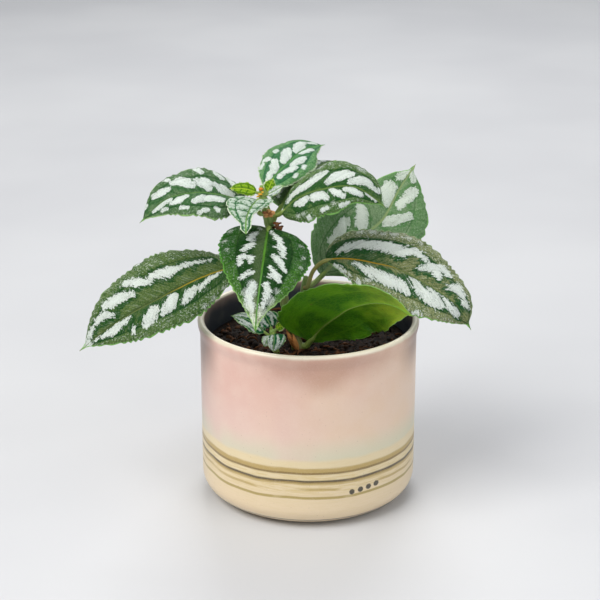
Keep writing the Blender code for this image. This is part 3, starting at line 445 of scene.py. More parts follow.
# Silver patches, for the halves left and right of the rib. Each is a rounded stroke: where
# it starts and where it ends, as shares of the blade's length and of the way from the rib
# to the margin, and its radius in millimetres at both ends. Dust is the same as single
# spots: share of length, share of the way to the margin, radius.
PATCHES = {
    "leaf_lower_left": (
        [(.085, .1, .155, .21, .4, 1), (.155, .21, .235, .35, 1.1, 1.2), (.255, .25, .3, .36, 1, 2),
         (.3, .36, .35, .5, 2, .9), (.385, .2, .42, .36, 2, 2.6), (.42, .36, .475, .52, 2.6, 1),
         (.505, .28, .55, .48, 1.8, 2.8), (.55, .48, .59, .63, 2.6, 1.4), (.65, .52, .67, .66, .6, 1),
         (.655, .14, .735, .25, 1, 2), (.735, .26, .785, .34, 2, 1.6), (.79, .34, .84, .25, 1.4, .9),
         (.87, .2, .88, .2, .9, .9), (.93, .3, .985, .3, 1.3, .9)],
        [(.12, .46, .27, .42, .5, 1), (.27, .42, .35, .38, 1.1, 2.3), (.35, .4, .44, .46, 2.2, 1.7),
         (.36, .28, .36, .3, .7, .7), (.46, .38, .53, .5, 1.2, 2.4), (.53, .52, .59, .66, 2.4, 1.4),
         (.575, .33, .64, .41, .9, 1.9), (.64, .42, .7, .49, 2.2, 2.6), (.7, .5, .74, .57, 2.5, 1.5),
         (.72, .18, .77, .36, .6, 1.7), (.77, .36, .82, .46, 1.7, 1.7), (.87, .45, .9, .4, 1.2, 1),
         (.93, .3, .985, .3, 1.3, .9), (.48, .92, .49, .92, .7, .7)],
    ),
    "leaf_front": (
        [(.05, .14, .17, .31, .5, 1.2), (.17, .31, .28, .37, 1.2, 1.4), (.28, .37, .355, .42, 1.3, .7),
         (.245, .2, .26, .32, .6, 1), (.34, .2, .395, .36, .8, 1.5), (.395, .36, .475, .52, 1.5, .8),
         (.455, .18, .53, .36, .7, 1.5), (.53, .36, .575, .5, 1.6, 1), (.54, .17, .545, .3, .4, .7),
         (.61, .18, .665, .3, .9, 1.5), (.665, .3, .735, .3, 1.5, 1), (.78, .3, .79, .3, .9, .9),
         (.86, .4, .87, .4, .8, .8), (.93, .4, .94, .4, .6, .6)],
        [(.12, .25, .185, .33, 1.1, 1.3), (.24, .27, .315, .44, 1.3, 1.1), (.375, .27, .385, .52, 1.1, 1.3),
         (.385, .52, .455, .55, 1.3, 1.1), (.4, .28, .43, .3, 1.2, .8), (.515, .27, .575, .58, 1.1, .9),
         (.63, .2, .7, .36, 1.4, 1.6), (.7, .38, .76, .5, 1.5, 1.4), (.76, .45, .86, .4, 1.3, 1),
         (.86, .45, .96, .5, .9, .6)],
    ),
    "leaf_right": (
        [(.07, .25, .12, .35, .6, 1.5), (.12, .35, .195, .4, 1.5, 1.6), (.195, .4, .285, .43, 1.6, 2.2),
         (.285, .43, .345, .43, 2.2, 2.6), (.345, .43, .405, .39, 2.6, 2.3),
         (.405, .42, .455, .54, 2.3, 1.9), (.455, .54, .54, .52, 1.9, 1), (.54, .25, .595, .44, .6, 1.9),
         (.595, .44, .65, .62, 2, 1.7), (.62, .45, .65, .34, 2.2, 1.3), (.65, .6, .68, .62, 1.7, 1.5),
         (.735, .28, .775, .52, .9, 1.7), (.775, .52, .81, .48, 1.7, 1.5), (.85, .35, .87, .5, 1.2, 1)],
        [(.17, .22, .26, .32, .6, 1.5), (.26, .32, .35, .44, 1.6, 2.2), (.35, .44, .415, .45, 2.2, 2.7),
         (.415, .45, .49, .42, 2.7, 2.3), (.49, .42, .56, .5, 2.2, .9), (.53, .12, .6, .28, 1.3, 1.9),
         (.6, .28, .67, .36, 1.9, 2.1), (.67, .37, .73, .5, 2.1, 1.2), (.655, .1, .715, .24, 1.1, 1.7),
         (.715, .24, .755, .4, 1.7, 1.2), (.755, .12, .8, .28, .9, 1.6), (.8, .28, .86, .34, 1.6, 1.1),
         (.4, .9, .5, .92, 1.3, 1.5), (.66, .93, .67, .93, 1.2, 1.2), (.05, .9, .17, .95, .8, 1),
         (.22, .85, .23, .85, 1, 1)],
    ),
    "leaf_upper_left": (
        [(.525, .18, .595, .3, .8, 1.6), (.595, .32, .66, .38, 1.6, .9), (.235, .3, .315, .27, 1.2, 1.6),
         (.315, .27, .4, .29, 1.6, 1.6), (.4, .3, .475, .43, 1.6, .8), (.67, .14, .76, .2, 1, 1.3),
         (.76, .2, .83, .22, 1.3, .9), (.54, .68, .59, .66, .7, .8), (.37, .74, .45, .86, .9, .9),
         (.27, .7, .29, .62, .8, .8), (.72, .6, .77, .62, .5, .6)],
        [(.65, .33, .7, .38, .8, 1.6), (.7, .38, .765, .5, 1.6, 1.3), (.465, .24, .535, .4, 1.3, 1.9),
         (.535, .42, .6, .52, 1.9, 1.3), (.49, .45, .55, .55, 1.2, 1.4), (.335, .16, .375, .28, 1.2, 1.9),
         (.375, .28, .42, .42, 1.9, 1), (.33, .32, .37, .4, 1.2, 1.3), (.13, .1, .22, .22, 1, 1.8),
         (.22, .22, .275, .32, 1.8, 1), (.385, .72, .41, .84, .9, 1), (.205, .7, .265, .84, .8, .9),
         (.12, .65, .15, .9, .9, .9), (.55, .93, .56, .93, .6, .6), (.63, .72, .65, .8, .6, .6),
         (.87, .75, .88, .75, .8, .8)],
    ),
    "leaf_upper_right": (
        [(.1, .4, .17, .42, .5, .8), (.17, .42, .225, .4, .8, 1.3), (.225, .4, .31, .38, 1.3, 1.4),
         (.31, .38, .395, .5, 1.4, 1.5), (.395, .5, .455, .58, 1.4, .8), (.465, .18, .535, .3, .7, 1.7),
         (.535, .3, .62, .42, 1.8, 1.9), (.65, .15, .705, .26, .8, 1.4), (.705, .26, .77, .42, 1.5, 1.6),
         (.77, .4, .79, .36, 1.5, 1.2), (.84, .38, .87, .52, .9, 1)],
        [(.255, .22, .22, .28, 1.5, 1.7), (.22, .28, .165, .24, 1.6, .7), (.345, .26, .405, .28, 1.8, 1.9),
         (.405, .3, .445, .42, 1.7, .8), (.495, .13, .535, .32, .7, 1.2), (.535, .32, .595, .5, 1.2, .6),
         (.6, .19, .67, .26, .5, 1.4), (.67, .26, .75, .36, 1.4, 1), (.8, .1, .89, .15, .5, .6),
         (.39, .82, .44, .78, .5, .5), (.56, .85, .66, .85, .5, .5), (.24, .9, .25, .9, .8, .8)],
    ),
    "leaf_top": (
        [(.61, .36, .53, .25, 1, 1.8), (.53, .25, .4, .14, 1.8, .8), (.385, .42, .3, .28, .8, 1.5),
         (.3, .28, .235, .18, 1.6, 1), (.19, .28, .12, .22, .9, .7), (.1, .25, .05, .3, .6, .4),
         (.785, .42, .72, .22, 1.3, 1.9), (.72, .22, .63, .1, 1.8, .8), (.85, .4, .9, .35, .8, .5),
         (.34, .8, .38, .68, .7, .9), (.28, .85, .24, .85, .8, .6), (.55, .62, .52, .64, .6, .7)],
        [(.365, .42, .31, .36, .9, 1.3), (.31, .36, .25, .27, 1.3, .9), (.55, .4, .48, .34, 1, 1.5),
         (.48, .34, .395, .26, 1.5, .7), (.775, .38, .69, .26, .8, 1.1), (.69, .26, .62, .18, 1.1, .6),
         (.45, .62, .4, .7, .5, .6), (.28, .7, .25, .75, .6, .6), (.21, .22, .17, .28, .8, .6)],
    ),
    "leaf_back_right": (
        [(.36, .45, .22, .36, 2.1, 2.1), (.51, .5, .43, .2, 2.6, 2.6), (.77, .35, .69, .12, 3.2, 2.4),
         (.87, .45, .93, .35, 1.6, 1.3)],
        [(.83, .5, .7, .2, 2.2, 1.8), (.66, .5, .57, .12, 1.6, 2), (.94, .5, .9, .5, 1.2, 1.2),
         (.4, .4, .33, .25, 2, 2)],
    ),
}
DUST = {
    "leaf_lower_left": ([(.1, .9, 1.2), (.18, .9, 1.3), (.25, .88, 1.2)], []),
    "leaf_front": (
        [(.2, .8, 1.2), (.31, .83, 1), (.43, .85, 1), (.66, .6, 1.5), (.74, .5, 2.5), (.84, .5, 2.5),
         (.92, .5, 2)],
        [(.04, .22, 1), (.1, .85, 1.2), (.22, .87, 1.2), (.32, .8, 1.2), (.62, .25, 2), (.7, .4, 3),
         (.8, .5, 2.5), (.9, .5, 2)],
    ),
    "leaf_right": (
        [(.17, .82, 1.4), (.23, .84, 1.6), (.29, .82, 1.6), (.35, .84, 1.6), (.41, .82, 1.4),
         (.47, .84, 1.2)],
        [(.28, .65, 1.5)],
    ),
    "leaf_upper_right": (
        [(.42, .9, 1.2), (.5, .9, 1), (.7, .8, 1.5)],
        [(.13, .7, 1.3), (.2, .7, 1.2), (.5, .65, 1.2)],
    ),
}

# Leaves whose upper side the photo hides, with the leaf that each takes its patches from
BORROWED_PATCHES = {"leaf_underside": "leaf_lower_left", "leaf_back": "leaf_upper_right"}
LEAF_SLOTS = {"leaf_underside": "leaf_underside", "leaf_young_front": "white_leaf"}

SHOOT_LOOK = look(
    ground=(22, 108, 60), olive=(48, 128, 70), band=(34, 118, 64), vein=(18, 88, 50), margin=(176, 208, 150),
    rib=(150, 180, 120), inner=(.12, .12), outer=.35, speckle=.2, feather=.6, ragged=.8, gap=.55,
    rib_width=.35,
)
# The tip's leaves; the dark strip beside their rib is painted shade in the fold there
TIP_LOOK = look(
    ground=(144, 186, 22), olive=(166, 204, 44), band=(142, 184, 28), vein=(56, 108, 10),
    strip=(48, 104, 12), margin=(206, 218, 150), rib=(170, 196, 60), silver=(190, 210, 110),
    inner=(.5, .5), clear=0, outer=3, speckle=0, feather=.6, ragged=.8, gap=.8, rib_width=.4,
    under=(120, 160, 30),
)

# The growing tip and the shoot: stem, slot and leaves
SPRAYS = {
    "growing_tip": ("tip", "tip_leaf", [
        small_leaf(
            height=128.8, stalk=[(-20.6, -7.6, 129.4)], rib=[(-25, -7.8, 130.8), (-31, -8.4, 131.2)],
            tip_power=(.6, .6), teeth=9, tooth_scale=1.3, facing=((-10, -75, 60), (-20, -75, 60)),
            half_widths=(3.2, 3.6), look=TIP_LOOK,
        ),
        small_leaf(
            height=128.6, stalk=[(-16.3, -6.6, 129.4)], rib=[(-15.2, -6.2, 131.4), (-13.8, -5.4, 134.5)],
            facing=((-20, -80, 30), (-20, -80, 30)), half_widths=(2.9, 2.9), teeth=5, tooth_scale=1.2,
            look=TIP_LOOK,
        ),
        small_leaf(
            height=128.2, stalk=[(-16.2, -7.6, 128.6)], rib=[(-13.6, -8, 129.8), (-9.6, -8.4, 132.6)],
            facing=((-20, -70, 60), (-20, -70, 60)), half_widths=(2.2, 2.2), teeth=5, look=SHOOT_LOOK,
        ),
    ]),
    "soil_shoot": ("shoot", "shoot_leaf", [
        small_leaf(
            height=71.5, stalk=[(-17.5, -15, 73.5)],
            rib=[(-20.5, -15, 76.5), (-25.2, -15, 79.2), (-31, -15.2, 80.6)],
            facing=((10, -50, 60), (0, -50, 60)), half_widths=(4.4, 4), look=SHOOT_LOOK,
        ),
        small_leaf(
            height=73.6, stalk=[(-15, -14.6, 75.6)], rib=[(-16.4, -13.8, 78.4), (-18.6, -12.6, 82)],
            facing=((10, -85, 35), (10, -85, 35)), half_widths=(4.5, 5), look=SHOOT_LOOK,
        ),
        small_leaf(
            height=73.2, stalk=[(-12.8, -15.2, 75)], rib=[(-11.3, -15.5, 76), (-8.8, -16, 76.8)],
            facing=((0, -60, 60), (10, -60, 60)), half_widths=(2.6, 2.2), teeth=4, look=TIP_LOOK,
        ),
        small_leaf(
            height=71.5, stalk=[(-15.2, -17, 72.6)], rib=[(-16.4, -18.6, 71.3), (-17.7, -19.4, 69)],
            facing=((0, -20, 90), (0, -80, 20)), half_widths=(2.6, 2.6), teeth=4, look=SHOOT_LOOK,
        ),
        small_leaf(
            height=73, stalk=[(-13.8, -17.2, 73.4)], rib=[(-13.7, -19.6, 71.6), (-14, -20.8, 67.2)],
            facing=((0, -10, 90), (0, -90, 5)), half_widths=(5, 3.4), widest=(.28, .42), look=SHOOT_LOOK,
        ),
    ]),
}

# The withered flowers: the stalk's foot, the middle of the beads, how far they reach out,
# their size, and their two colours
FLOWERS = {
    "flower_upper": dict(
        foot=(-17.2, -8.6, 120.6), middle=(-16, -11.4, 122), reach=2.3, bead=1.05, seed=5,
        tones=((132, 72, 30), (226, 166, 104)),
    ),
    "flower_lower": dict(
        foot=(-15.2, -9.4, 114.8), middle=(-11.8, -11.2, 116.9), reach=2.6, bead=1.15, seed=9,
        tones=((48, 28, 18), (154, 92, 40)),
    ),
}
FLOWER_BEADS = 16
BEAD_REACHES = (0.35, 0.9)
BEAD_SIZES = (0.6, 1.0)
FLOWER_STALK_RADIUS = 0.5
FLOWER_STALK_ROWS = 6

# The orange bud between the tip's leaves, as middles and radii, and the dry scales at the
# stem's foot, as the points that each runs through
BUD = (
    ((-18.7, -8.3, 130.9), .8), ((-18, -8.5, 129.8), .65), ((-18.9, -8.5, 128.9), .7),
    ((-19.8, -8.2, 127.9), .6),
)
BUD_SEED = 17
SCALES = (
    ((-4.8, -13.4, 65.5), (-6.4, -14.2, 69), (-7.8, -14.8, 72), (-9, -15, 74.6)),
    ((-4.4, -13.9, 65), (-5, -15, 68), (-5.6, -15.6, 70.6), (-6.2, -15.9, 73)),
)
SCALE_RADII = (.7, 1.15, .9, .12)
SCALE_ROWS = 14
SCALE_SIDES = 12
SCALE_RIDGES = 0.12

# The silver stripes of the shoot's leaves
SHOOT_STRIPES = [(.12, .32, .5, .42, .3, .6), (.5, .42, .9, .4, .6, .3), (.22, .82, .75, .78, .3, .35)]


class Skin:
    """Closed shells with their data and material numbers, gathered into one mesh."""

    DATA = ("place", "streak", "patch", "veins")

    def __init__(self):
        self.points = []
        self.faces = []
        self.numbers = []
        self.data = {name: [] for name in self.DATA}
        self.count = 0

    def add(self, points, groups, numbers=None, **data):
        """Add one shell: its points, groups of faces, and a material number for each group."""
        for group, number in zip(groups, numbers or [0] * len(groups)):
            self.faces.extend((group + self.count).tolist())
            self.numbers.extend([number] * len(group))
        self.points.append(points)
        for name, rows in self.data.items():
            rows.append(data.get(name, np.zeros((len(points), 3))))
        self.count += len(points)

    def piece(self, name, *materials):
        """The gathered shells as a new object, in metres."""
        mesh = bpy.data.meshes.new(name)
        mesh.from_pydata((np.vstack(self.points) * MM).tolist(), [], self.faces)
        for key, rows in self.data.items():
            attribute = mesh.attributes.new(key, "FLOAT_VECTOR", "POINT")
            attribute.data.foreach_set("vector", np.vstack(rows).astype(np.float32).ravel())
        for material in materials:
            mesh.materials.append(material)
        mesh.polygons.foreach_set("material_index", self.numbers)
        mesh.update()
        outward = bmesh.new()
        outward.from_mesh(mesh)
        bmesh.ops.recalc_face_normals(outward, faces=outward.faces)
        outward.to_mesh(mesh)
        outward.free()
        mesh.shade_smooth()
        return new_object(name, mesh)


def new_object(name, data):
    """A new object in the scene."""
    thing = bpy.data.objects.new(name, data)
    bpy.context.scene.collection.objects.link(thing)
    return thing


def unit(rows):
    """Rows scaled to a length of one."""
    rows = np.asarray(rows, float)
    return rows / np.linalg.norm(rows, axis=-1, keepdims=True)


def smooth(values):
    """0 below 0, 1 above 1, with a soft passage between."""
    clipped = np.clip(values, 0.0, 1.0)
    return clipped * clipped * (3 - 2 * clipped)


def choose(half, pair):
    """The first of a pair for the half left of the rib, 0, and the second for the right half, 1."""
    return np.where(half, pair[1], pair[0])


def lengths_along(places):
    """How long a line of places is up to each of them."""
    return np.concatenate([[0.0], np.cumsum(np.linalg.norm(np.diff(places, axis=0), axis=1))])


def path_frames(points, shares):
    """Places and headings at shares of a smooth curve's length, and that length."""
    control = np.array(points, float)
    control = np.vstack([2 * control[0] - control[1], control, 2 * control[-1] - control[-2]])
    steps = np.linspace(0.0, 1.0, SPAN_STEPS, endpoint=False)[:, None]
    spans = []
    for a, b, c, d in zip(control, control[1:], control[2:], control[3:]):
        curve = (c - a) * steps + (2 * a - 5 * b + 4 * c - d) * steps**2 + (3 * b - a - 3 * c + d) * steps**3
        spans.append(b + 0.5 * curve)
    dense = np.vstack([*spans, control[-2:-1]])
    lengths = lengths_along(dense)
    wanted = np.asarray(shares) * lengths[-1]
    spots, headings = (
        np.stack([np.interp(wanted, lengths, rows[:, axis]) for axis in range(3)], axis=1)
        for rows in (dense, np.gradient(dense, axis=0))
    )
    return spots, unit(headings), lengths[-1]


def stem_radius(stem, share, height):
    """A stem's radius, which swells where something grows out of it."""
    foot, top = stem["radii"]
    nearness = np.max([1.0 - np.abs(height - growth) / NODE_REACH for growth in stem["growths"]], axis=0)
    return (foot + (top - foot) * share) * (1.0 + NODE_SWELL * smooth(nearness))


def seat_on_stem(stem, height, toward):
    """A point inside a stem at a height, and the point beside it that a stalk passes on its way out."""
    shares = np.linspace(0.0, 1.0, SEARCH_STEPS)
    places, headings, _ = path_frames(stem["points"], shares)
    nearest = int(np.argmin(np.abs(places[:, 2] - height)))
    middle, heading = places[nearest], headings[nearest]
    outward = np.array(toward, float) - middle
    outward = unit(outward - heading * outward.dot(heading))
    radius = stem_radius(stem, shares[nearest], middle[2])
    return middle + outward * radius * STALK_ROOT, middle + outward * (radius + STALK_CLEAR)


def width_share(leaf, half, t):
    """A blade half's width at t as a share of its widest."""
    widest, tip_power, drip = (choose(half, pair) for pair in (leaf.widest, leaf.tip_power, leaf.drip))
    along = np.minimum(t / BODY_END, 1.0)
    base_power = widest * tip_power / (1.0 - widest)
    body = (along / widest) ** base_power * ((1.0 - along) / (1.0 - widest)) ** tip_power
    starting = np.clip((t - DRIP_TIP_START) / (DRIP_TIP_FULL - DRIP_TIP_START), 0.0, 1.0)
    tail = drip * starting * np.minimum((1.0 - t) / DRIP_TIP_LENGTH, 1.0)
    return (body**4 + tail**4) ** 0.25


def blade_shape(leaf, half, t, share, fullness):
    """How far a blade's points lie to the side of the rib and how far above it."""
    width = choose(half, leaf.half_widths) * fullness
    fold, arch = (np.radians(choose(half, pair)) for pair in (leaf.fold, leaf.arch))
    angle = fold - arch * share
    side = width * (np.sin(fold) - np.sin(angle)) / arch
    lift = width * (np.cos(angle) - np.cos(fold)) / arch
    lift = lift + leaf.wave * fullness * share**2 * np.sin(FULL_TURN * (WAVES * t + WAVE_SHIFT * half))
    uneven = TOOTH_UNEVENNESS * np.sin(FULL_TURN * (TOOTH_BEATS * t + TOOTH_SHIFT * half))
    in_tooth = (t * leaf.teeth + uneven) % 1.0
    back = ((1.0 - in_tooth) / (1.0 - TOOTH_NOTCH)) ** TOOTH_BACK_POWER
    notch = np.where(in_tooth < TOOTH_NOTCH, in_tooth / TOOTH_NOTCH, back)
    depth = TOOTH_DEPTH * leaf.tooth_scale * np.sqrt(fullness)
    side = np.maximum(side - notch * depth * share**TOOTH_EDGE_POWER, 0.0)
    lift = lift + RUFFLE * notch * share**RUFFLE_EDGE_POWER * np.sqrt(fullness)
    return choose(half, (side, -side)), lift


def cross_veins(leaf, half, origin):
    """For points of a half: their place between cross veins, and how far they are from one and in a cell."""
    marks = np.array(leaf.cross[half])
    steps = np.concatenate([marks[:1] - 1.0, marks, marks[-1:] + 1.0])
    phase = np.interp(origin, steps, np.arange(len(steps)) - 1.0)
    spacing = np.interp(phase, np.arange(len(marks) - 1) + 0.5, np.diff(marks)) * leaf.length
    to_ends = np.minimum(np.abs(origin - marks[0]), np.abs(origin - marks[-1])) * leaf.length
    past_ends = (origin < marks[0]) | (origin > marks[-1])
    to_cross = np.where(past_ends, to_ends, np.abs(phase - np.round(phase)) * spacing)
    in_cell = (leaf.look.fill[half] / 2 - np.abs(phase % 1.0 - 0.5)) * spacing
    return phase, to_cross, in_cell


def stroke_field(leaf, half, strokes, t, share):
    """How far in a half's rounded strokes each point is."""
    def flat(t, share):
        """A place on the flattened blade, as a complex number: along it, and out to its side."""
        return t * leaf.length + 1j * share * leaf.half_widths[half] * width_share(leaf, half, t)

    points = flat(t, share)
    field = np.full(points.shape, -FAR_AWAY)
    for t_start, share_start, t_end, share_end, radius_start, radius_end in strokes:
        start = flat(t_start, share_start)
        run = flat(t_end, share_end) - start
        passed = np.clip(((points - start) * np.conj(run)).real / max(abs(run) ** 2, TINY), 0.0, 1.0)
        radius = radius_start + (radius_end - radius_start) * passed
        field = np.maximum(field, radius - np.abs(points - start - passed * run))
    return field


def leaf_frames(leaf, blade_shares, stalk_shares):
    """Frames along a leaf's stalk and on along its blade, and the lengths of the two."""
    start, beside = seat_on_stem(STEMS[leaf.stem], leaf.height, leaf.stalk[0])
    lead = [start, beside] if len(leaf.stalk) > 1 else [start]
    points = [*lead, *leaf.stalk, *leaf.rib]
    dense = np.linspace(0.0, 1.0, SEARCH_STEPS)
    places, _, length = path_frames(points, dense)
    base_share = dense[int(np.argmin(np.linalg.norm(places - np.array(leaf.stalk[-1]), axis=1)))]
    shares = np.concatenate([base_share * stalk_shares, base_share + (1.0 - base_share) * blade_shares])
    turns = np.concatenate([np.zeros(len(stalk_shares)), blade_shares])[:, None]
    places, headings, _ = path_frames(points, shares)
    first, last = (unit(facing) for facing in leaf.facing)
    facing = first + (last - first) * turns
    normals = unit(facing - headings * np.sum(facing * headings, axis=1, keepdims=True))
    return (places, np.cross(normals, headings), normals), (1.0 - base_share) * length, base_share * length


def grid_faces(rows, columns, closed=False):
    """Four-cornered faces between neighbouring points of a grid."""
    grid = np.arange(rows * columns).reshape(rows, columns)
    if closed:
        grid = np.hstack([grid, grid[:, :1]])
    return np.stack([grid[:-1, :-1], grid[:-1, 1:], grid[1:, 1:], grid[1:, :-1]], axis=-1).reshape(-1, 4)


def tube_faces(rows, sides):
    """Faces of a closed tube, whose two end points come after those of its rings."""
    column = np.arange(sides)
    ahead = np.roll(column, -1)
    last = (rows - 1) * sides
    return [
        grid_faces(rows, sides, closed=True),
        np.stack([np.full(sides, rows * sides), ahead, column], axis=1),
        np.stack([np.full(sides, rows * sides + 1), column + last, ahead + last], axis=1),
    ]


def add_blade(skin, leaf, places, across, normals, t, columns, numbers):
    """A leaf's blade with its veins' relief, as one closed shell in two materials."""
    t = t[:, None]
    share = np.linspace(0.0, 1.0, columns + 1) ** COLUMN_CROWDING
    share = np.concatenate([share[:0:-1], share])[None, :]
    half = np.repeat((1, 0), (columns, columns + 1))[None, :]
    fullness = width_share(leaf, half, t)
    side, lift = blade_shape(leaf, half, t, share, fullness)

    width = choose(half, leaf.half_widths) * fullness
    pinch = 1.0 - VEIN_PINCH * smooth((t - VEIN_CLOSES) / (1.0 - VEIN_CLOSES))
    lateral = np.maximum(VEIN_SHARE * smooth(t / VEIN_OPENS) ** 0.5 * pinch, LEAST_VEIN_SHARE)
    bow = np.minimum(share / lateral, 1.0) ** CROSS_BOW + CROSS_BEYOND * np.maximum(share - lateral, 0.0)
    origin = t - choose(half, leaf.slant) * bow
    phase, to_cross, in_cell = choose(half, [cross_veins(leaf, number, origin) for number in (0, 1)])
    to_rib, to_lateral, to_edge = share * width, (lateral - share) * width, (1.0 - share) * width

    relief = PUFF * leaf.puff * fullness
    for distance in (to_rib, to_lateral, to_cross, to_edge):
        relief = relief * (1.0 - np.exp(-np.abs(distance) / VEIN_SOFTNESS))
    lift = lift + relief
    middle = places[:, None] + across[:, None] * side[..., None] + normals[:, None] * lift[..., None]
    normal = np.cross(np.gradient(middle, axis=1), np.gradient(middle, axis=0))
    size = np.linalg.norm(normal, axis=2, keepdims=True)
    flat = np.broadcast_to(normals[:, None], normal.shape)
    normal = np.where(size > LEAST_NORMAL, normal / np.maximum(size, TINY), flat)
    normal = normal * np.sign(np.sum(normal * flat, axis=2, keepdims=True) + TINY)
    thickness = BLADE_EDGE + (BLADE_MIDDLE - BLADE_EDGE) * smooth(to_edge / EDGE_BLEND)
    thickness = thickness * (NARROW_SHARE + (1.0 - NARROW_SHARE) * smooth(width / NARROW_WIDTH))
    offset = normal * thickness[..., None]
    points = np.stack([middle + offset, middle - offset]).reshape(-1, 3)

    def strokes_of(pair):
        return choose(half, [stroke_field(leaf, number, pair[number], t, share) for number in (0, 1)])

    style = leaf.look
    ends = np.minimum(t - SILVER_STARTS, SILVER_ENDS - t) * leaf.length
    in_cell = np.minimum(in_cell, to_cross - style.gap / 2)
    beside_rib = (share - choose(half, style.inner)) * width
    silver = reduce(np.minimum, (in_cell, to_lateral - SILVER_OFF_VEIN, beside_rib, ends))
    outer = (-to_lateral - OUTER_OFF_VEIN, to_edge - SILVER_OFF_EDGE, in_cell + OUTER_GROWTH, ends)
    silver = np.maximum(silver, reduce(np.minimum, outer) - style.outer)
    if leaf.strokes:
        silver = strokes_of(leaf.strokes)
    dust = strokes_of([[(a, b, a, b, radius, radius) for a, b, radius in spots] for spots in leaf.dust])
    data = dict(
        place=(t * leaf.length, side, to_edge), streak=(phase, share, half), patch=(silver, dust, 0.0),
        veins=(to_rib, np.abs(to_lateral), to_cross),
    )
    for key, fields in data.items():
        fields = [np.broadcast_to(field, side.shape) for field in fields]
        data[key] = np.tile(np.stack(fields, axis=-1).reshape(-1, 3), (2, 1))

    top = grid_faces(*side.shape)
    grid = np.arange(side.size).reshape(side.shape)
    rims = ((grid[:-1, [0, -1]], grid[1:, [0, -1]]), (grid[[0, -1], :-1], grid[[0, -1], 1:]))
    edge = [np.stack([a, b, b + side.size, a + side.size], axis=-1).reshape(-1, 4) for a, b in rims]
    skin.add(points, [top, top + side.size, *edge], [*numbers[:2], 0, 0], **data)


def add_tube(skin, places, radii, sides, number, normals=None, ridges=0.0, tint=0.0):
    """A closed tube with a radius at each place. Its data holds the length along and the turn."""
    places = np.asarray(places, float)
    headings = unit(np.gradient(places, axis=0))
    if normals is None:
        normals = [np.array((0.3, -0.9, 0.2))]
        for heading in headings:
            normals.append(unit(normals[-1] - heading * heading.dot(normals[-1])))
        normals = np.array(normals[1:])
    across = np.cross(headings, normals)
    turn = np.linspace(0.0, FULL_TURN, sides, endpoint=False)
    radii = np.asarray(radii, float)[:, None] * (1.0 + ridges * np.cos(RIDGES_AROUND * turn))
    ring = normals[:, None] * (np.cos(turn) * radii)[..., None]
    ring = ring + across[:, None] * (np.sin(turn) * radii)[..., None]
    ends = places[[0, -1]] + headings[[0, -1]] * radii[[0, -1], :1] * [[-END_CAP], [END_CAP]]
    points = np.vstack([(places[:, None] + ring).reshape(-1, 3), ends])
    lengths = lengths_along(places)
    place = np.broadcast_arrays(lengths[:, None], np.cos(turn), np.sin(turn))
    place = np.stack(place, axis=-1).reshape(-1, 3)
    place = np.vstack([place, [0, 0, 0], [lengths[-1], 0, 0]])
    streak = np.stack(np.broadcast_arrays(place[:, 0] / lengths[-1], tint, 0.0), axis=1)
    skin.add(points, tube_faces(len(places), sides), [number] * 3, place=place, streak=streak)


def add_leaf(skin, leaf, columns, numbers=(0, 1, 2)):
    """A whole leaf: its blade in two materials and its stalk, which runs on as the rib below."""
    large = columns == HALF_COLUMNS
    rough_length = lengths_along(np.array([leaf.stalk[-1], *leaf.rib], float))[-1]
    rows = max(LEAST_ROWS, int(rough_length * ROWS_PER_MM)) if large else SMALL_ROWS
    t = BLADE_START + BLADE_SPAN * np.linspace(0.0, 1.0, rows) ** ROW_CROWDING
    stalk_shares = np.linspace(0.0, 1.0, STALK_ROWS, endpoint=False)
    frames, leaf.length, stalk_length = leaf_frames(leaf, t, stalk_shares)
    add_blade(skin, leaf, *(part[STALK_ROWS:] for part in frames), t, columns, numbers)

    places, _, normals = frames
    runs_on = np.concatenate([np.zeros(STALK_ROWS), t])
    from_stem = np.concatenate([stalk_shares, np.ones(len(t))]) * stalk_length
    radius = leaf.stalk_radius * (1.0 - (1.0 - leaf.rib_bulk) * smooth(runs_on / RIB_STARTS))
    radius = radius * (1.0 - RIB_TAPER * runs_on)
    radius = radius * (1.0 + STALK_FLARE * np.exp(-from_stem / STALK_FLARE_REACH))
    ending = np.maximum((1.0 - runs_on) / (1.0 - RIB_ENDS), RIB_END_SHARE)
    radius = radius * np.where(runs_on > RIB_ENDS, ending, 1.0)
    sunk = (radius * SINK_SHARE + SINK_MORE) * smooth(runs_on / RIB_SINKS)
    places = places - normals * sunk[:, None]
    sides = STALK_SIDES if large else SMALL_STALK_SIDES
    add_tube(skin, places, radius, sides, numbers[2], normals=normals, ridges=STALK_RIDGES)


def connect(tree, socket, value):
    """Link a socket, or set its value."""
    if isinstance(value, Value):
        tree.links.new(value.socket, socket)
    else:
        socket.default_value = value


def add_node(tree, kind, inputs, output=0, **settings):
    """What a new node puts out, with its inputs given in order or by their names."""
    node = tree.nodes.new("ShaderNode" + kind)
    for key, value in settings.items():
        setattr(node, key, value)
    for key, value in inputs.items() if isinstance(inputs, dict) else enumerate(inputs):
        connect(tree, node.inputs[key], value)
    return Value(tree, node.outputs[output])


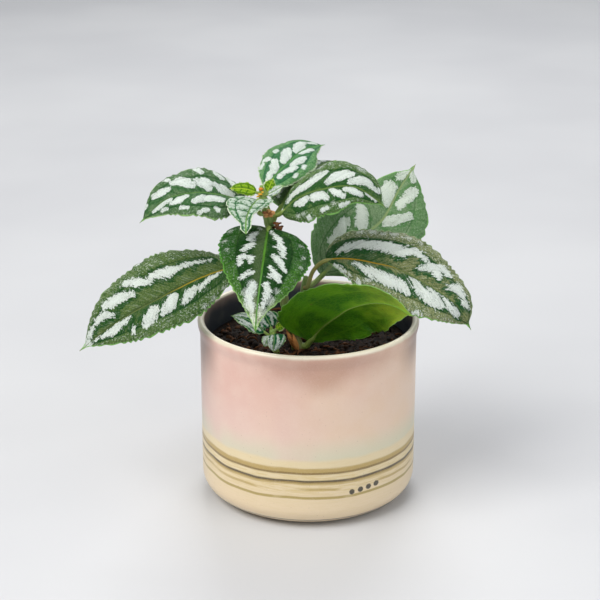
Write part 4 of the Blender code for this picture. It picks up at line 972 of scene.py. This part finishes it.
class Value:
    """What a node puts out. Arithmetic on it adds nodes."""

    def __init__(self, tree, socket):
        self.tree = tree
        self.socket = socket

    def math(self, operation, *values):
        return add_node(self.tree, "Math", values, operation=operation)

    def __add__(self, other):
        return self.math("ADD", self, other)

    def __mul__(self, other):
        return self.math("MULTIPLY", self, other)

    def __sub__(self, other):
        return self.math("SUBTRACT", self, other)

    def __rsub__(self, other):
        return self.math("SUBTRACT", other, self)

    def __abs__(self):
        return self.math("ABSOLUTE", self)

    def root(self):
        return self.math("SQRT", self)

    def least(self, other):
        return self.math("MINIMUM", self, other)

    def most(self, other):
        return self.math("MAXIMUM", self, other)

    def swing(self, amount):
        """A noise value turned into an offset of plus or minus about half the amount."""
        return self * (2.0 * amount) - amount

    def fade(self, low, high):
        """0 where the value is at low, 1 where it is at high, with a soft passage between."""
        limits = (min(low, high), max(low, high), float(low > high), float(low < high))
        return add_node(self.tree, "MapRange", (self, *limits), interpolation_type="SMOOTHSTEP")

    def split(self):
        return [add_node(self.tree, "SeparateXYZ", (self,), axis) for axis in range(3)]

    def stretch(self, *factors):
        return add_node(self.tree, "VectorMath", (self, factors), operation="MULTIPLY")

    def noise(self, scale, detail=2.0, roughness=0.5):
        inputs = dict(Vector=self, Scale=scale, Detail=detail, Roughness=roughness)
        return add_node(self.tree, "TexNoise", inputs)

    def cells(self, scale, feature="F1"):
        return add_node(self.tree, "TexVoronoi", dict(Vector=self, Scale=scale), feature=feature)

    def bump(self, distance):
        """A normal from a height of 0 to 1 that stands for a distance."""
        return add_node(self.tree, "Bump", dict(Height=self, Distance=distance * MM, Strength=1.0))


def linear_light(colour):
    """A colour given as three screen values from 0 to 255, as linear light. Others stay as they are."""
    if isinstance(colour, Value) or len(colour) > 3:
        return colour
    shares = [value / 255 for value in colour]
    linear = [s / 12.92 if s <= 0.04045 else ((s + 0.055) / 1.055) ** 2.4 for s in shares]
    return (*linear, 1.0)


def lay(under, over, *shares):
    """One colour laid over another, as far as the product of the shares."""
    under, over = linear_light(under), linear_light(over)
    share = reduce(mul, shares)
    trees = [value.tree for value in (share, under, over) if isinstance(value, Value)]
    if not trees:
        return tuple(a + (b - a) * share for a, b in zip(under, over))
    return add_node(trees[0], "Mix", {0: share, 6: under, 7: over}, 2, data_type="RGBA")


class Surface:
    """A material, with what its colours are worked out from."""

    def __init__(self, name):
        self.material = bpy.data.materials.new(name)
        self.material.use_nodes = True
        self.tree = self.material.node_tree

    def data(self, *names):
        """What the skin holds under each name, as three values."""
        return [add_node(self.tree, "Attribute", (), "Vector", attribute_name=name) for name in names]

    def position(self):
        """The point in millimetres."""
        return add_node(self.tree, "TexCoord", (), "Object").stretch(1 / MM, 1 / MM, 1 / MM)

    def finish(self, colour, roughness, normal, **values):
        """Set the shader's own sockets, named with underscores for blanks."""
        values.update(Base_Color=colour, Roughness=roughness, Normal=normal)
        for key, value in values.items():
            connect(self.tree, self.tree.nodes["Principled BSDF"].inputs[key.replace("_", " ")], value)
        return self.material


def leaf_upper(name, style):
    """The upper side: silver patches with feathery edges between green veins."""
    surface = Surface(name)
    place, streak, patch, veins = surface.data(*Skin.DATA)
    along, _, edge = place.split()
    _, share, half = streak.split()
    field, dust_field, _ = patch.split()
    to_rib, to_lateral, to_cross = veins.split()
    hair = streak.stretch(11, 3, 5).noise(1.0, 3.0, 0.6)
    weave = streak.stretch(16, 5, 7).noise(1.0, 4.0, 0.75)
    fuzz = place.noise(1.5, 3.0, 0.6)
    blotch = place.noise(0.25)
    fine = place.noise(4.0, 2.0, 0.7)
    mottle = place.noise(1.1, 4.0, 0.75)
    rags = place.stretch(1.0, 0.55, 0.0).noise(1.1, 3.0, 0.7)
    crumbs = place.noise(2.6, 3.0, 0.85).fade(0.54, 0.62)
    pin = place.cells(1.25).fade(0.26, 0.16)
    quilt = place.cells(0.9, "DISTANCE_TO_EDGE")

    inner = field + rags.swing(style.ragged) + hair.swing(style.feather) + style.grow
    near_edge = (inner + blotch.swing(2.5)).fade(2.2, 0.2)
    silver = inner.fade(-0.05, 0.3) * (1.0 - pin * near_edge * 0.75)
    silver = silver * (1.0 - crumbs * (near_edge * style.grain + style.grain * 0.35))
    dust = (dust_field + fuzz.swing(2.4)).fade(-0.2, 0.7)
    silver = silver.most(dust * fine.fade(0.38, 0.6))

    in_band = (share - VEIN_SHARE).fade(0.02, 0.1)
    away = (inner + blotch.swing(3.0)).fade(-0.8 - style.halo, -2.2 - style.halo)
    ground = lay(style.ground, style.olive, away, fuzz.fade(0.25, 0.55))
    # Painted shade: one half darkens toward the base, as in a hollow
    deep = half * (style.deep[1] - style.deep[0]) + style.deep[0]
    ground = lay(ground, style.ground, deep, (along + blotch.swing(20.0)).fade(*style.deep_reach))
    band = lay(style.band, style.band_tip, (along + blotch.swing(12.0)).fade(14.0, 34.0))
    ground = lay(ground, band, in_band, fuzz.fade(0.3, 0.6))
    # A strip beside the rib on the right half: painted shade in the fold on the tip's leaves, a paler olive
    # tone on the front leaf
    if style.strip:
        ground = lay(ground, style.strip, half, (share + fuzz.swing(0.1)).fade(0.32, 0.14), 0.7)
    ground = lay(ground, style.vein, weave.fade(0.5, 0.62), style.weave, 0.65)
    ground = lay(ground, style.vein, mottle.fade(0.48, 0.64), 0.5, 0.75)
    pale = lay(style.olive, style.silver, style.weave * 0.5)
    ground = lay(ground, pale, weave.fade(0.46, 0.34), style.weave * 0.5)
    ground = lay(ground, style.vein, quilt.fade(0.13, 0.02), style.net, 0.9)
    dots = place.stretch(1.0, 1.4, 0.3).noise(1.3, 3.0, 0.7).fade(0.54, 0.66)
    dots = dots * edge.fade(0.3, 1.0) * to_lateral.least(to_cross).fade(0.3, 1.1)
    speckle = dots * (in_band * (style.speckle * 0.85) + style.speckle * 0.1)
    ground = lay(ground, style.margin, fine.fade(0.4, 0.75), 0.1)

    colour = lay(ground, lay(style.silver, style.olive, 0.3), speckle)
    colour = lay(colour, lay(style.silver, style.olive, mottle.fade(0.35, 0.65), style.dull), silver)
    if style.tip_amount:
        toward_tip = (along + blotch.swing(14.0)).fade(38.0, 56.0)
        colour = lay(colour, style.tip_tone, toward_tip, fine.fade(0.4, 0.6) * 0.6 + 0.4, style.tip_amount)
    line = to_lateral.least(to_cross + share.fade(VEIN_SHARE, 0.95)).fade(0.45, 0.12)
    colour = lay(colour, style.vein, line, 1.0 - silver * style.clear, 0.8)
    margin = lay(style.margin, style.margin_tip, along.fade(20.0, 50.0))
    colour = lay(colour, margin, (edge + fuzz.swing(0.7)).fade(0.75, 0.25), 0.9)
    rib_reach = along * (-0.006 * style.rib_width) + style.rib_width * 0.62
    rib_tone = lay(style.rib, style.rib_tip, along.fade(18.0, 34.0))
    rib_tone = lay(rib_tone, style.ground, fine.fade(0.3, 0.7), 0.3)
    colour = lay(colour, rib_tone, (to_rib - rib_reach).fade(0.12, -0.12))

    height = quilt.fade(0.0, 0.25) * 0.7 + fine * 0.45 + silver * 0.35
    return surface.finish(
        colour, fine * 0.18 + 0.34 - silver * 0.06, height.bump(0.25), Subsurface_Weight=0.03,
        Subsurface_Radius=(0.8, 1.2, 0.5), Subsurface_Scale=GLOW_DEPTH, Specular_IOR_Level=0.09,
    )


def leaf_under(name, style):
    """The under side: plain paler green with lighter raised veins."""
    surface = Surface(name)
    place, veins = surface.data("place", "veins")
    along, _, edge = place.split()
    to_rib, to_lateral, to_cross = veins.split()
    blotch = place.noise(0.12, 3.0)
    fuzz = place.noise(1.2, 3.0, 0.6)
    net = place.cells(0.55, "DISTANCE_TO_EDGE")
    colour = lay(style.under_dark, style.under, blotch.fade(0.4, 0.62))
    colour = lay(colour, style.under, fuzz.fade(0.35, 0.7), 0.3)
    colour = lay(colour, style.under_tip, (along + blotch.swing(16.0)).fade(22.0, 52.0), 0.7)
    lateral = (to_lateral + fuzz.swing(0.2)).fade(0.75, 0.15)
    cross = (to_cross + fuzz.swing(0.2)).fade(0.55, 0.1)
    colour = lay(colour, style.under_vein, lateral.most(cross * 0.6), 0.2)
    colour = lay(colour, style.under_vein, to_rib.fade(0.9, 0.4), 0.7)
    colour = lay(colour, lay(style.under_vein, (210, 225, 170), 0.35), edge.fade(0.5, 0.15), 0.5)
    colour = lay(colour, style.under_vein, net.fade(0.12, 0.02), 0.22)
    colour = lay(colour, (120, 96, 50), place.noise(0.5).fade(0.72, 0.78), 0.8)
    colour = lay(colour, (64, 72, 22), place.cells(0.22).fade(0.1, 0.05), along.fade(18.0, 40.0), 0.7)
    height = net.fade(0.14, 0.0) * 0.5 + fuzz * 0.5
    return surface.finish(
        colour, fuzz * 0.2 + 0.42, height.bump(0.12), Subsurface_Weight=0.1,
        Subsurface_Radius=(0.8, 1.2, 0.4), Subsurface_Scale=GLOW_DEPTH,
    )


def stalk_surface(name, low, high, flush, amount):
    """A stalk or stem: one green running into another, with lengthwise lines and a warm flush."""
    surface = Surface(name)
    place, streak = surface.data("place", "streak")
    share, tint, _ = streak.split()
    lines = place.stretch(0.12, 3.0, 3.0).noise(1.6, 3.0, 0.6)
    blotch = place.stretch(0.35, 1.0, 1.0).noise(0.9, 3.0)
    colour = lay(low, high, share + blotch.swing(0.5))
    colour = lay(colour, lay(colour, (190, 196, 130), 0.6), lines.fade(0.35, 0.7), 0.4)
    warm = (blotch + tint * 0.6 + lines.swing(0.15)).fade(0.68 - amount, 0.82 - amount)
    colour = lay(colour, flush, warm, 0.85)
    return surface.finish(
        colour, lines * 0.2 + 0.38, (lines + place.noise(2.5) * 0.4).bump(0.12), Subsurface_Weight=0.1,
        Subsurface_Radius=(0.8, 1.0, 0.4), Subsurface_Scale=GLOW_DEPTH,
    )


def glaze_lines(cream, point, level, brush):
    """The brushed rings on the pot's cream band."""
    flat = point.stretch(1.0, 1.0, 0.0)
    sway = flat.noise(0.03).swing(2.4)
    swell = flat.noise(0.045)
    for middle, half_width, own_sway, colour, amount, gaps in GLAZE_RINGS:
        away = abs(sway * own_sway + level - middle) + brush.swing(half_width * 0.5)
        faint = (swell + brush.swing(0.05)).fade(0.2 + 0.35 * gaps, 0.34 + 0.35 * gaps)
        cream = lay(cream, colour, away.fade(half_width * 1.5, half_width * 0.55), faint, amount)
    return cream


def glaze_dots(cream, x, y, z, grain):
    """The plain row of dots on the pot's front."""
    for number in range(DOTS):
        turn = math.radians(DOT_TURN + DOT_TURN_STEP * number)
        aside = x - POT_WALL_RADIUS * math.sin(turn)
        above = z - (DOT_HEIGHT + DOT_RISE * number)
        reach = (aside * aside * DOT_NARROWING + above * above).root()
        dot = (reach + grain.swing(0.3)).fade(*DOT_EDGE)
        cream = lay(cream, (50, 46, 36), dot, y.fade(0.0, -1.0), 0.95)
    return cream


def pot_glaze():
    """The pot's outside: a pink glaze over a cream band with brushed rings, with painted shade below the lip
    and at the sides, and an inside painted dark as shade and reflection.
    """
    surface = Surface("pot_glaze")
    point = surface.position()
    x, y, z = point.split()
    broad = point.stretch(1.0, 1.0, 0.7).noise(0.035)
    medium = point.noise(0.11, 3.0)
    grain = point.noise(1.7, 3.0, 0.6)
    brush = point.stretch(0.25, 0.25, 3.2).noise(0.6, 3.0, 0.6)
    level = z + point.stretch(1.0, 1.0, 0.0).noise(0.08, 1.0).swing(0.4)

    sideways = (x + broad.swing(40.0)).fade(-38.0, 40.0)
    body = lay((228, 196, 184), (234, 206, 178), sideways)
    body = lay(body, (220, 168, 152), z.fade(36.0, 62.0), sideways * -0.4 + 0.5)
    body = lay(body, (236, 212, 196), medium.fade(0.35, 0.65), 0.25)
    # Painted shade under the lip, strongest a little right of the middle
    below_lip = z + broad.swing(10.0)
    off_middle = abs(x - 8.0) + medium.swing(8.0)
    body = lay(body, (176, 124, 104), below_lip.fade(58.0, 70.0), off_middle.fade(42.0, 4.0), 0.6)
    # Painted shade: darker brown at the left and right edges below the lip, where the wall turns away from
    # view
    body = lay(body, (124, 84, 64), abs(x).fade(34.0, 44.5), below_lip.fade(50.0, 69.0), 0.9)
    body = lay(body, (208, 214, 184), z.fade(42.0, 31.0), (broad + sideways * 0.1).fade(0.3, 0.62), 0.6)

    cream = lay((230, 212, 172), (232, 210, 176), z.fade(28.0, 6.0))
    cream = lay(cream, (222, 200, 150), brush.fade(0.4, 0.7), 0.3)
    cream = lay(cream, (212, 186, 118), z.fade(14.0, 18.0), z.fade(27.0, 24.0), brush.fade(0.4, 0.62), 0.5)
    cream = glaze_lines(cream, point, level, brush)
    cream = glaze_dots(cream, x, y, z, grain)

    colour = lay(cream, body, (level + medium.swing(0.8)).fade(29.6, 31.6))
    colour = lay(colour, (226, 218, 196), (z + medium.swing(0.6)).fade(73.2, 74.6))
    colour = lay(colour, (150, 116, 92), point.cells(0.42).fade(0.09, 0.05), 0.35)
    colour = lay(colour, (250, 240, 226), grain.fade(0.45, 0.75), 0.08)
    # The inside: painted shade and painted reflection, dark grey-blue deep down and lighter near the lip
    # where light reaches, with greenish-grey blotches
    inside = lay((62, 67, 76), (140, 124, 118), (z + medium.swing(3.0)).fade(69.0, 74.2))
    inside = lay(inside, (112, 118, 106), medium.fade(0.5, 0.68), 0.3)
    colour = lay(colour, inside, (x * x + y * y).root().fade(42.6, 42.0), z.fade(3.0, 4.0))
    colour = lay(colour, (206, 190, 168), z.fade(1.35, 1.0))
    normal = (medium * 0.9 + grain * 0.16).bump(0.18)
    return surface.finish(colour, grain * 0.16 + 0.27, normal, Coat_Weight=0.25, Coat_Roughness=0.3)


def soil_surface(name, dark, light, brightest):
    """Damp peat: near black with brown crumbs."""
    surface = Surface(name)
    point = surface.position()
    tint, _, _ = surface.data("streak")[0].split()
    crumb = point.noise(0.9, 4.0, 0.7)
    fine = point.noise(3.5, 3.0, 0.7)
    colour = lay(dark, light, (crumb + point.cells(0.7).swing(0.1)).fade(0.42, 0.72))
    colour = lay(colour, brightest, fine.fade(0.55, 0.75), 0.5)
    colour = lay(colour, light, tint, 0.9)
    return surface.finish(colour, fine * 0.3 + 0.6, (crumb + fine * 0.5).bump(0.5), Specular_IOR_Level=0.2)


def withered_surface(name, first, second):
    """Dried flower remains, scales and the bud."""
    surface = Surface(name)
    fuzz = surface.position().noise(1.6, 3.0, 0.7)
    _, tint, _ = surface.data("streak")[0].split()
    colour = lay(first, second, (tint * 0.6 + fuzz * 0.6).fade(0.3, 0.8))
    colour = lay(colour, (206, 160, 96), fuzz.fade(0.6, 0.8), 0.6)
    return surface.finish(colour, fuzz * 0.3 + 0.5, fuzz.bump(0.3))


def arc(centre, radius, start, end, steps):
    """Points (r, z) on an arc between two angles in degrees."""
    angles = np.radians(np.linspace(start, end, steps + 1))
    return [(centre[0] + radius * math.cos(a), centre[1] + radius * math.sin(a)) for a in angles]


def turned_points(profile, sides):
    """Points and faces of a body turned from a profile that starts and ends on the axis."""
    turn = np.linspace(0.0, FULL_TURN, sides, endpoint=False)
    radii, heights = np.array(profile[1:-1]).T[:, :, None]
    rings = np.stack(np.broadcast_arrays(radii * np.sin(turn), -radii * np.cos(turn), heights), axis=-1)
    points = np.vstack([rings.reshape(-1, 3), (0, 0, profile[0][1]), (0, 0, profile[-1][1])])
    return points, tube_faces(len(radii), sides)


def pot_profile():
    """From the middle of the floor up the inside, over the lip and down to the foot."""
    inner_corner = (POT_INNER_RADIUS - POT_INNER_CORNER_RADIUS, POT_FLOOR + POT_INNER_CORNER_RADIUS)
    lip = (POT_RIM_RADIUS - POT_LIP_RADIUS, POT_HEIGHT - POT_LIP_RADIUS)
    outer_corner = (POT_WALL_RADIUS - POT_CORNER_RADIUS, POT_FOOT_HEIGHT + POT_CORNER_RADIUS)
    flare_foot = POT_HEIGHT - POT_FLARE_HEIGHT
    profile = [(r, POT_FLOOR) for r in (0, *FLOOR_RINGS)]
    profile += arc(inner_corner, POT_INNER_CORNER_RADIUS, -90, 0, INNER_CORNER_STEPS)
    profile += [(POT_INNER_RADIUS, z) for z in np.linspace(INNER_WALL_START, flare_foot, INNER_WALL_RINGS)]
    profile += arc(lip, POT_LIP_RADIUS, 180, 0, CORNER_STEPS)
    for share in np.linspace(FLARE_START, 1.0, FLARE_STEPS):
        radius = POT_WALL_RADIUS + (POT_RIM_RADIUS - POT_WALL_RADIUS) * (1.0 - smooth(share))
        profile.append((float(radius), lip[1] + (flare_foot - lip[1]) * share))
    below, above = OUTER_WALL_MARGINS
    wall = np.linspace(flare_foot - above, outer_corner[1] + below, OUTER_WALL_RINGS)
    profile += [(POT_WALL_RADIUS, z) for z in wall]
    profile += arc(outer_corner, POT_CORNER_RADIUS, 0, -90, CORNER_STEPS)
    profile += [(POT_FOOT_RADIUS, POT_FOOT_HEIGHT), (POT_FOOT_RADIUS - POT_FOOT_TAPER, 0.0)]
    profile += [(r, 0.0) for r in (*FLOOR_RINGS[::-1], 0)]
    return profile


def soil_height(x, y):
    """Height of the soil's top, with lumps, crumbs and a dip along the wall."""
    share = math.hypot(x, y) / SOIL_RADIUS
    place = Vector((x, y, NOISE_HEIGHT))
    rough = noise.fractal(place * LUMP_SCALE, 0.8, 2.0, 4) * LUMP_HEIGHT
    rough += noise.fractal(place * ROUGHNESS_SCALE, 0.7, 2.1, 3) * ROUGHNESS_HEIGHT
    return SOIL_EDGE_HEIGHT + SOIL_MOUND * (1.0 - share**2) + rough * (1.0 - share**8) - WALL_DIP * share**6


def lump(middle, size, draw, detail):
    """Points and faces of a small irregular lump."""
    mesh = bmesh.new()
    bmesh.ops.create_icosphere(mesh, subdivisions=detail, radius=1.0)
    shift = Vector([draw.uniform(-LUMP_SHIFT, LUMP_SHIFT) for _ in range(3)])
    stretch = Vector([draw.uniform(*limits) for limits in LUMP_STRETCH])
    spin = draw.uniform(0.0, FULL_TURN)
    points = []
    for vertex in mesh.verts:
        dent = LUMP_DENTS * noise.noise(vertex.co * LUMP_DENT_SCALE + shift)
        x, y, z = vertex.co * (1.0 + dent) * size * stretch
        turned = (x * math.cos(spin) - y * math.sin(spin), x * math.sin(spin) + y * math.cos(spin), z)
        points.append(turned)
    faces = np.array([[vertex.index for vertex in face.verts] for face in mesh.faces])
    mesh.free()
    return np.array(points) + np.array(middle, float), [faces]


def add_lump(skin, middle, size, draw, detail, chip_share=0.0, tint_power=1):
    """A lump with a tint of its own, and in the second material as often as chip_share says."""
    points, faces = lump(middle, size, draw, detail)
    number = int(draw.random() < chip_share) if chip_share else 0
    tint = draw.random() ** tint_power
    skin.add(points, faces, [number], streak=np.tile((tint, tint, 0.0), (len(points), 1)))


def add_fibre(skin, draw):
    """A fibre that lies bent on the soil."""
    turn, reach = draw.uniform(0, FULL_TURN), (SOIL_RADIUS - FIBRE_MARGIN) * math.sqrt(draw.random())
    heading, bend = draw.uniform(0, FULL_TURN), draw.uniform(*FIBRE_BENDS)
    x, y = reach * math.cos(turn), reach * math.sin(turn)
    step_length = draw.uniform(*FIBRE_LENGTHS) / FIBRE_STEPS
    rise = draw.uniform(*FIBRE_RISES)
    places = []
    for share in np.linspace(0.0, 1.0, FIBRE_STEPS + 1):
        x += math.cos(heading + bend * share * FIBRE_CURL) * step_length
        y += math.sin(heading + bend * share * FIBRE_CURL) * step_length
        pull = min(1.0, (SOIL_RADIUS - FIBRE_WALL_GAP) / max(math.hypot(x, y), TINY))
        x, y = x * pull, y * pull
        places.append((x, y, soil_height(x, y) + FIBRE_LIFT + rise * math.sin(math.pi * share)))
    thick = draw.choice(FIBRE_RADII)
    add_tube(skin, places, [thick * share for share in FIBRE_TAPER], FIBRE_SIDES, 1, tint=draw.random())


def make_soil():
    """The soil with crumbs, bark chips and fibres on its top."""
    corner = (POT_INNER_RADIUS - POT_INNER_CORNER_RADIUS, POT_FLOOR + POT_INNER_CORNER_RADIUS)
    profile = [(SOIL_RADIUS * (ring / SOIL_RINGS), 0.0) for ring in range(SOIL_RINGS + 1)]
    profile += [(SOIL_RADIUS, z) for z in SOIL_WALL_HEIGHTS]
    profile += arc(corner, POT_INNER_CORNER_RADIUS - SOIL_GAP, 0, -90, SOIL_CORNER_STEPS)
    points, faces = turned_points(profile + [(0.0, POT_FLOOR + SOIL_GAP)], SOIL_SIDES)
    for index in [*range(SOIL_RINGS * SOIL_SIDES), len(points) - 2]:
        points[index, 2] = soil_height(points[index, 0], points[index, 1])
    skin = Skin()
    skin.add(points, faces)
    draw = random.Random(SOIL_SEED)
    for _ in range(CRUMBS):
        turn, reach = draw.uniform(0, FULL_TURN), (SOIL_RADIUS - CRUMB_MARGIN) * math.sqrt(draw.random())
        x, y = reach * math.cos(turn), reach * math.sin(turn)
        size = draw.choice(CRUMB_SIZES) * draw.uniform(*CRUMB_SPREAD)
        z = soil_height(x, y) + size * draw.uniform(*CRUMB_HEIGHTS)
        detail = 2 if size > LARGE_CRUMB else 1
        add_lump(skin, (x, y, z), size, draw, detail, CHIP_SHARE, CRUMB_TINT_POWER)
    for _ in range(FIBRES):
        add_fibre(skin, draw)
    dark = soil_surface("soil_dark", (12, 9, 6), (58, 36, 22), (96, 62, 38))
    chips = soil_surface("soil_chips", (40, 25, 14), (116, 74, 44), (160, 110, 70))
    dress(skin.piece("soil_top", dark, chips), "soil", "soil")


def add_stem(skin, name, number=0, sides=STEM_SIDES):
    """One of the stems as a finely sampled tube."""
    stem = STEMS[name]
    _, _, length = path_frames(stem["points"], [0.0])
    shares = np.linspace(0.0, 1.0, max(LEAST_STEM_ROWS, int(length / STEM_STEP)))
    places, _, _ = path_frames(stem["points"], shares)
    rough = np.array([noise.noise(Vector(place) * 0.6) for place in places])
    radii = stem_radius(stem, shares, places[:, 2]) * (1.0 + STEM_ROUGHNESS * rough)
    add_tube(skin, places, radii, sides, number, ridges=STEM_RIDGES)


def dress(piece, slot, *nodes):
    """Attach a piece to the root body and hide the CAD nodes it stands for. Its slot, the finish, is not
    used.
    """
    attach(piece, "root")
    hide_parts(*nodes)


def aim(thing, place, heading):
    """Put a camera or light at a place, looking along a heading."""
    thing.location = place
    thing.rotation_euler = heading.to_track_quat("-Z", "Y").to_euler()


def add_light(name, place, size, power, colour):
    """A soft area light that looks at the plant."""
    data = bpy.data.lights.new(name, "AREA")
    data.energy = power
    data.size = size
    data.color = colour
    aim(new_object(name, data), place, LIGHT_TARGET - Vector(place))


def make_stage():
    """Camera, soft studio light and a plain pale floor."""
    scene = bpy.context.scene
    back = Vector((0.0, -math.cos(CAMERA_ELEVATION), math.sin(CAMERA_ELEVATION)))
    data = bpy.data.cameras.new("camera")
    data.lens = CAMERA_LENS
    data.sensor_width = CAMERA_SENSOR
    data.clip_start, data.clip_end = CAMERA_CLIP
    scene.camera = new_object("camera", data)
    aim(scene.camera, CAMERA_TARGET + back * CAMERA_DISTANCE, -back)

    surface = Surface("floor")
    point = surface.position()
    grain = point.noise(0.6, 3.0)
    colour = lay((196, 197, 200), (206, 207, 209), point.noise(0.004, 3.0).fade(0.3, 0.7))
    mesh = bpy.data.meshes.new("floor")
    corners = [(x * FLOOR_REACH, y * FLOOR_REACH, 0) for x, y in ((-1, -1), (1, -1), (1, 1), (-1, 1))]
    mesh.from_pydata(corners, [], [(0, 1, 2, 3)])
    mesh.materials.append(surface.finish(colour, grain * 0.1 + 0.5, grain.bump(0.05)))
    floor = new_object("floor", mesh)

    scene.view_settings.view_transform = "Standard"
    scene.world = bpy.data.worlds.new("studio")
    scene.world.use_nodes = True
    background = scene.world.node_tree.nodes["Background"]
    background.inputs["Color"].default_value = STUDIO_COLOUR
    background.inputs["Strength"].default_value = STUDIO_STRENGTH
    for name, light in LIGHTS.items():
        add_light(name, *light)


def make_stems():
    """The main stem with the dry scales at its foot, and the side branch."""
    green = stalk_surface("stem_green", (112, 104, 58), (104, 142, 58), (140, 84, 44), 0.05)
    brown = withered_surface("scale_brown", (150, 92, 44), (204, 138, 74))
    stems = (("main_stem", "main", "stem", SCALES), ("side_branch", "side", "branch", ()))
    for node, stem, slot, scales in stems:
        skin = Skin()
        add_stem(skin, stem)
        for scale in scales:
            places, _, _ = path_frames(scale, np.linspace(0.0, 1.0, SCALE_ROWS))
            radii = np.interp(np.linspace(0, 3, SCALE_ROWS), range(4), SCALE_RADII)
            add_tube(skin, places, radii, SCALE_SIDES, 1, ridges=SCALE_RIDGES, tint=0.7)
        dress(skin.piece(node + "_bark", green, brown), slot, node)


def make_leaves(stalk_green):
    """The large leaves, with the silver strokes and the dust of their patterns."""
    stalk_warm = stalk_surface("stalk_warm", (140, 142, 76), (176, 158, 62), (186, 130, 60), 0.08)
    for name, leaf in LEAVES.items():
        pattern = BORROWED_PATCHES.get(name, name)
        leaf.strokes = PATCHES.get(pattern)
        leaf.dust = DUST.get(pattern, leaf.dust)
        skin = Skin()
        add_leaf(skin, leaf, HALF_COLUMNS)
        upper, under = leaf_upper(name + "_upper", leaf.look), leaf_under(name + "_under", leaf.look)
        stalk = stalk_warm if name == "leaf_right" else stalk_green
        dress(skin.piece(name + "_blade", upper, under, stalk), LEAF_SLOTS.get(name, "leaf"), name)


def make_spray(node, stem, slot, leaves, stalk_green):
    """A stem with small leaves in two looks, its first leaf's and another."""
    skin = Skin()
    style = leaves[0].look
    other = SHOOT_LOOK if style is TIP_LOOK else TIP_LOOK
    add_stem(skin, stem, number=2, sides=SMALL_STEM_SIDES)
    for leaf in leaves:
        leaf.stem = stem
        leaf.strokes = (SHOOT_STRIPES, SHOOT_STRIPES) if leaf.look is SHOOT_LOOK else None
        add_leaf(skin, leaf, SMALL_HALF_COLUMNS, (3, 4, 2) if leaf.look is other else (0, 1, 2))
    materials = [leaf_upper(node + "_upper", style), leaf_under(node + "_under", style), stalk_green]
    materials += [leaf_upper(node + "_other_upper", other), leaf_under(node + "_other_under", other)]
    dress(skin.piece(node + "_spray", *materials), slot, node)


def make_bud():
    """The orange bud between the tip's leaves."""
    draw = random.Random(BUD_SEED)
    skin = Skin()
    for middle, size in BUD:
        add_lump(skin, middle, size, draw, 3)
    orange = withered_surface("bud_orange", (206, 118, 24), (222, 176, 44))
    dress(skin.piece("growing_tip_bud", orange), "tip_leaf", "growing_tip")


def make_flower(node, foot, middle, reach, bead, seed, tones):
    """A withered flower: a short stalk with a cluster of beads."""
    draw = random.Random(seed)
    skin = Skin()
    foot, middle = np.array(foot, float), np.array(middle, float)
    places = [foot + (middle - foot) * share for share in np.linspace(0, 1, FLOWER_STALK_ROWS)]
    add_tube(skin, places, [FLOWER_STALK_RADIUS] * len(places), SMALL_STALK_SIDES, 0, tint=0.2)
    for _ in range(FLOWER_BEADS):
        spread = unit([draw.gauss(0, 1) for _ in range(3)]) * reach * draw.uniform(*BEAD_REACHES)
        add_lump(skin, middle + spread, bead * draw.uniform(*BEAD_SIZES), draw, 2)
    dress(skin.piece(node + "_heads", withered_surface(node + "_dry", *tones)), "withered", node)


def main():
    """Build the stage and every piece of the plant."""
    make_stage()
    pot = Skin()
    pot.add(*turned_points(pot_profile(), POT_SIDES))
    dress(pot.piece("glazed_pot", pot_glaze()), "pot_glaze", "pot")
    make_soil()
    make_stems()
    stalk_green = stalk_surface("stalk_green", (124, 150, 62), (118, 156, 66), (160, 120, 60), 0.0)
    make_leaves(stalk_green)
    for node, spray in SPRAYS.items():
        make_spray(node, *spray, stalk_green)
    make_bud()
    for node, flower in FLOWERS.items():
        make_flower(node, **flower)


main()
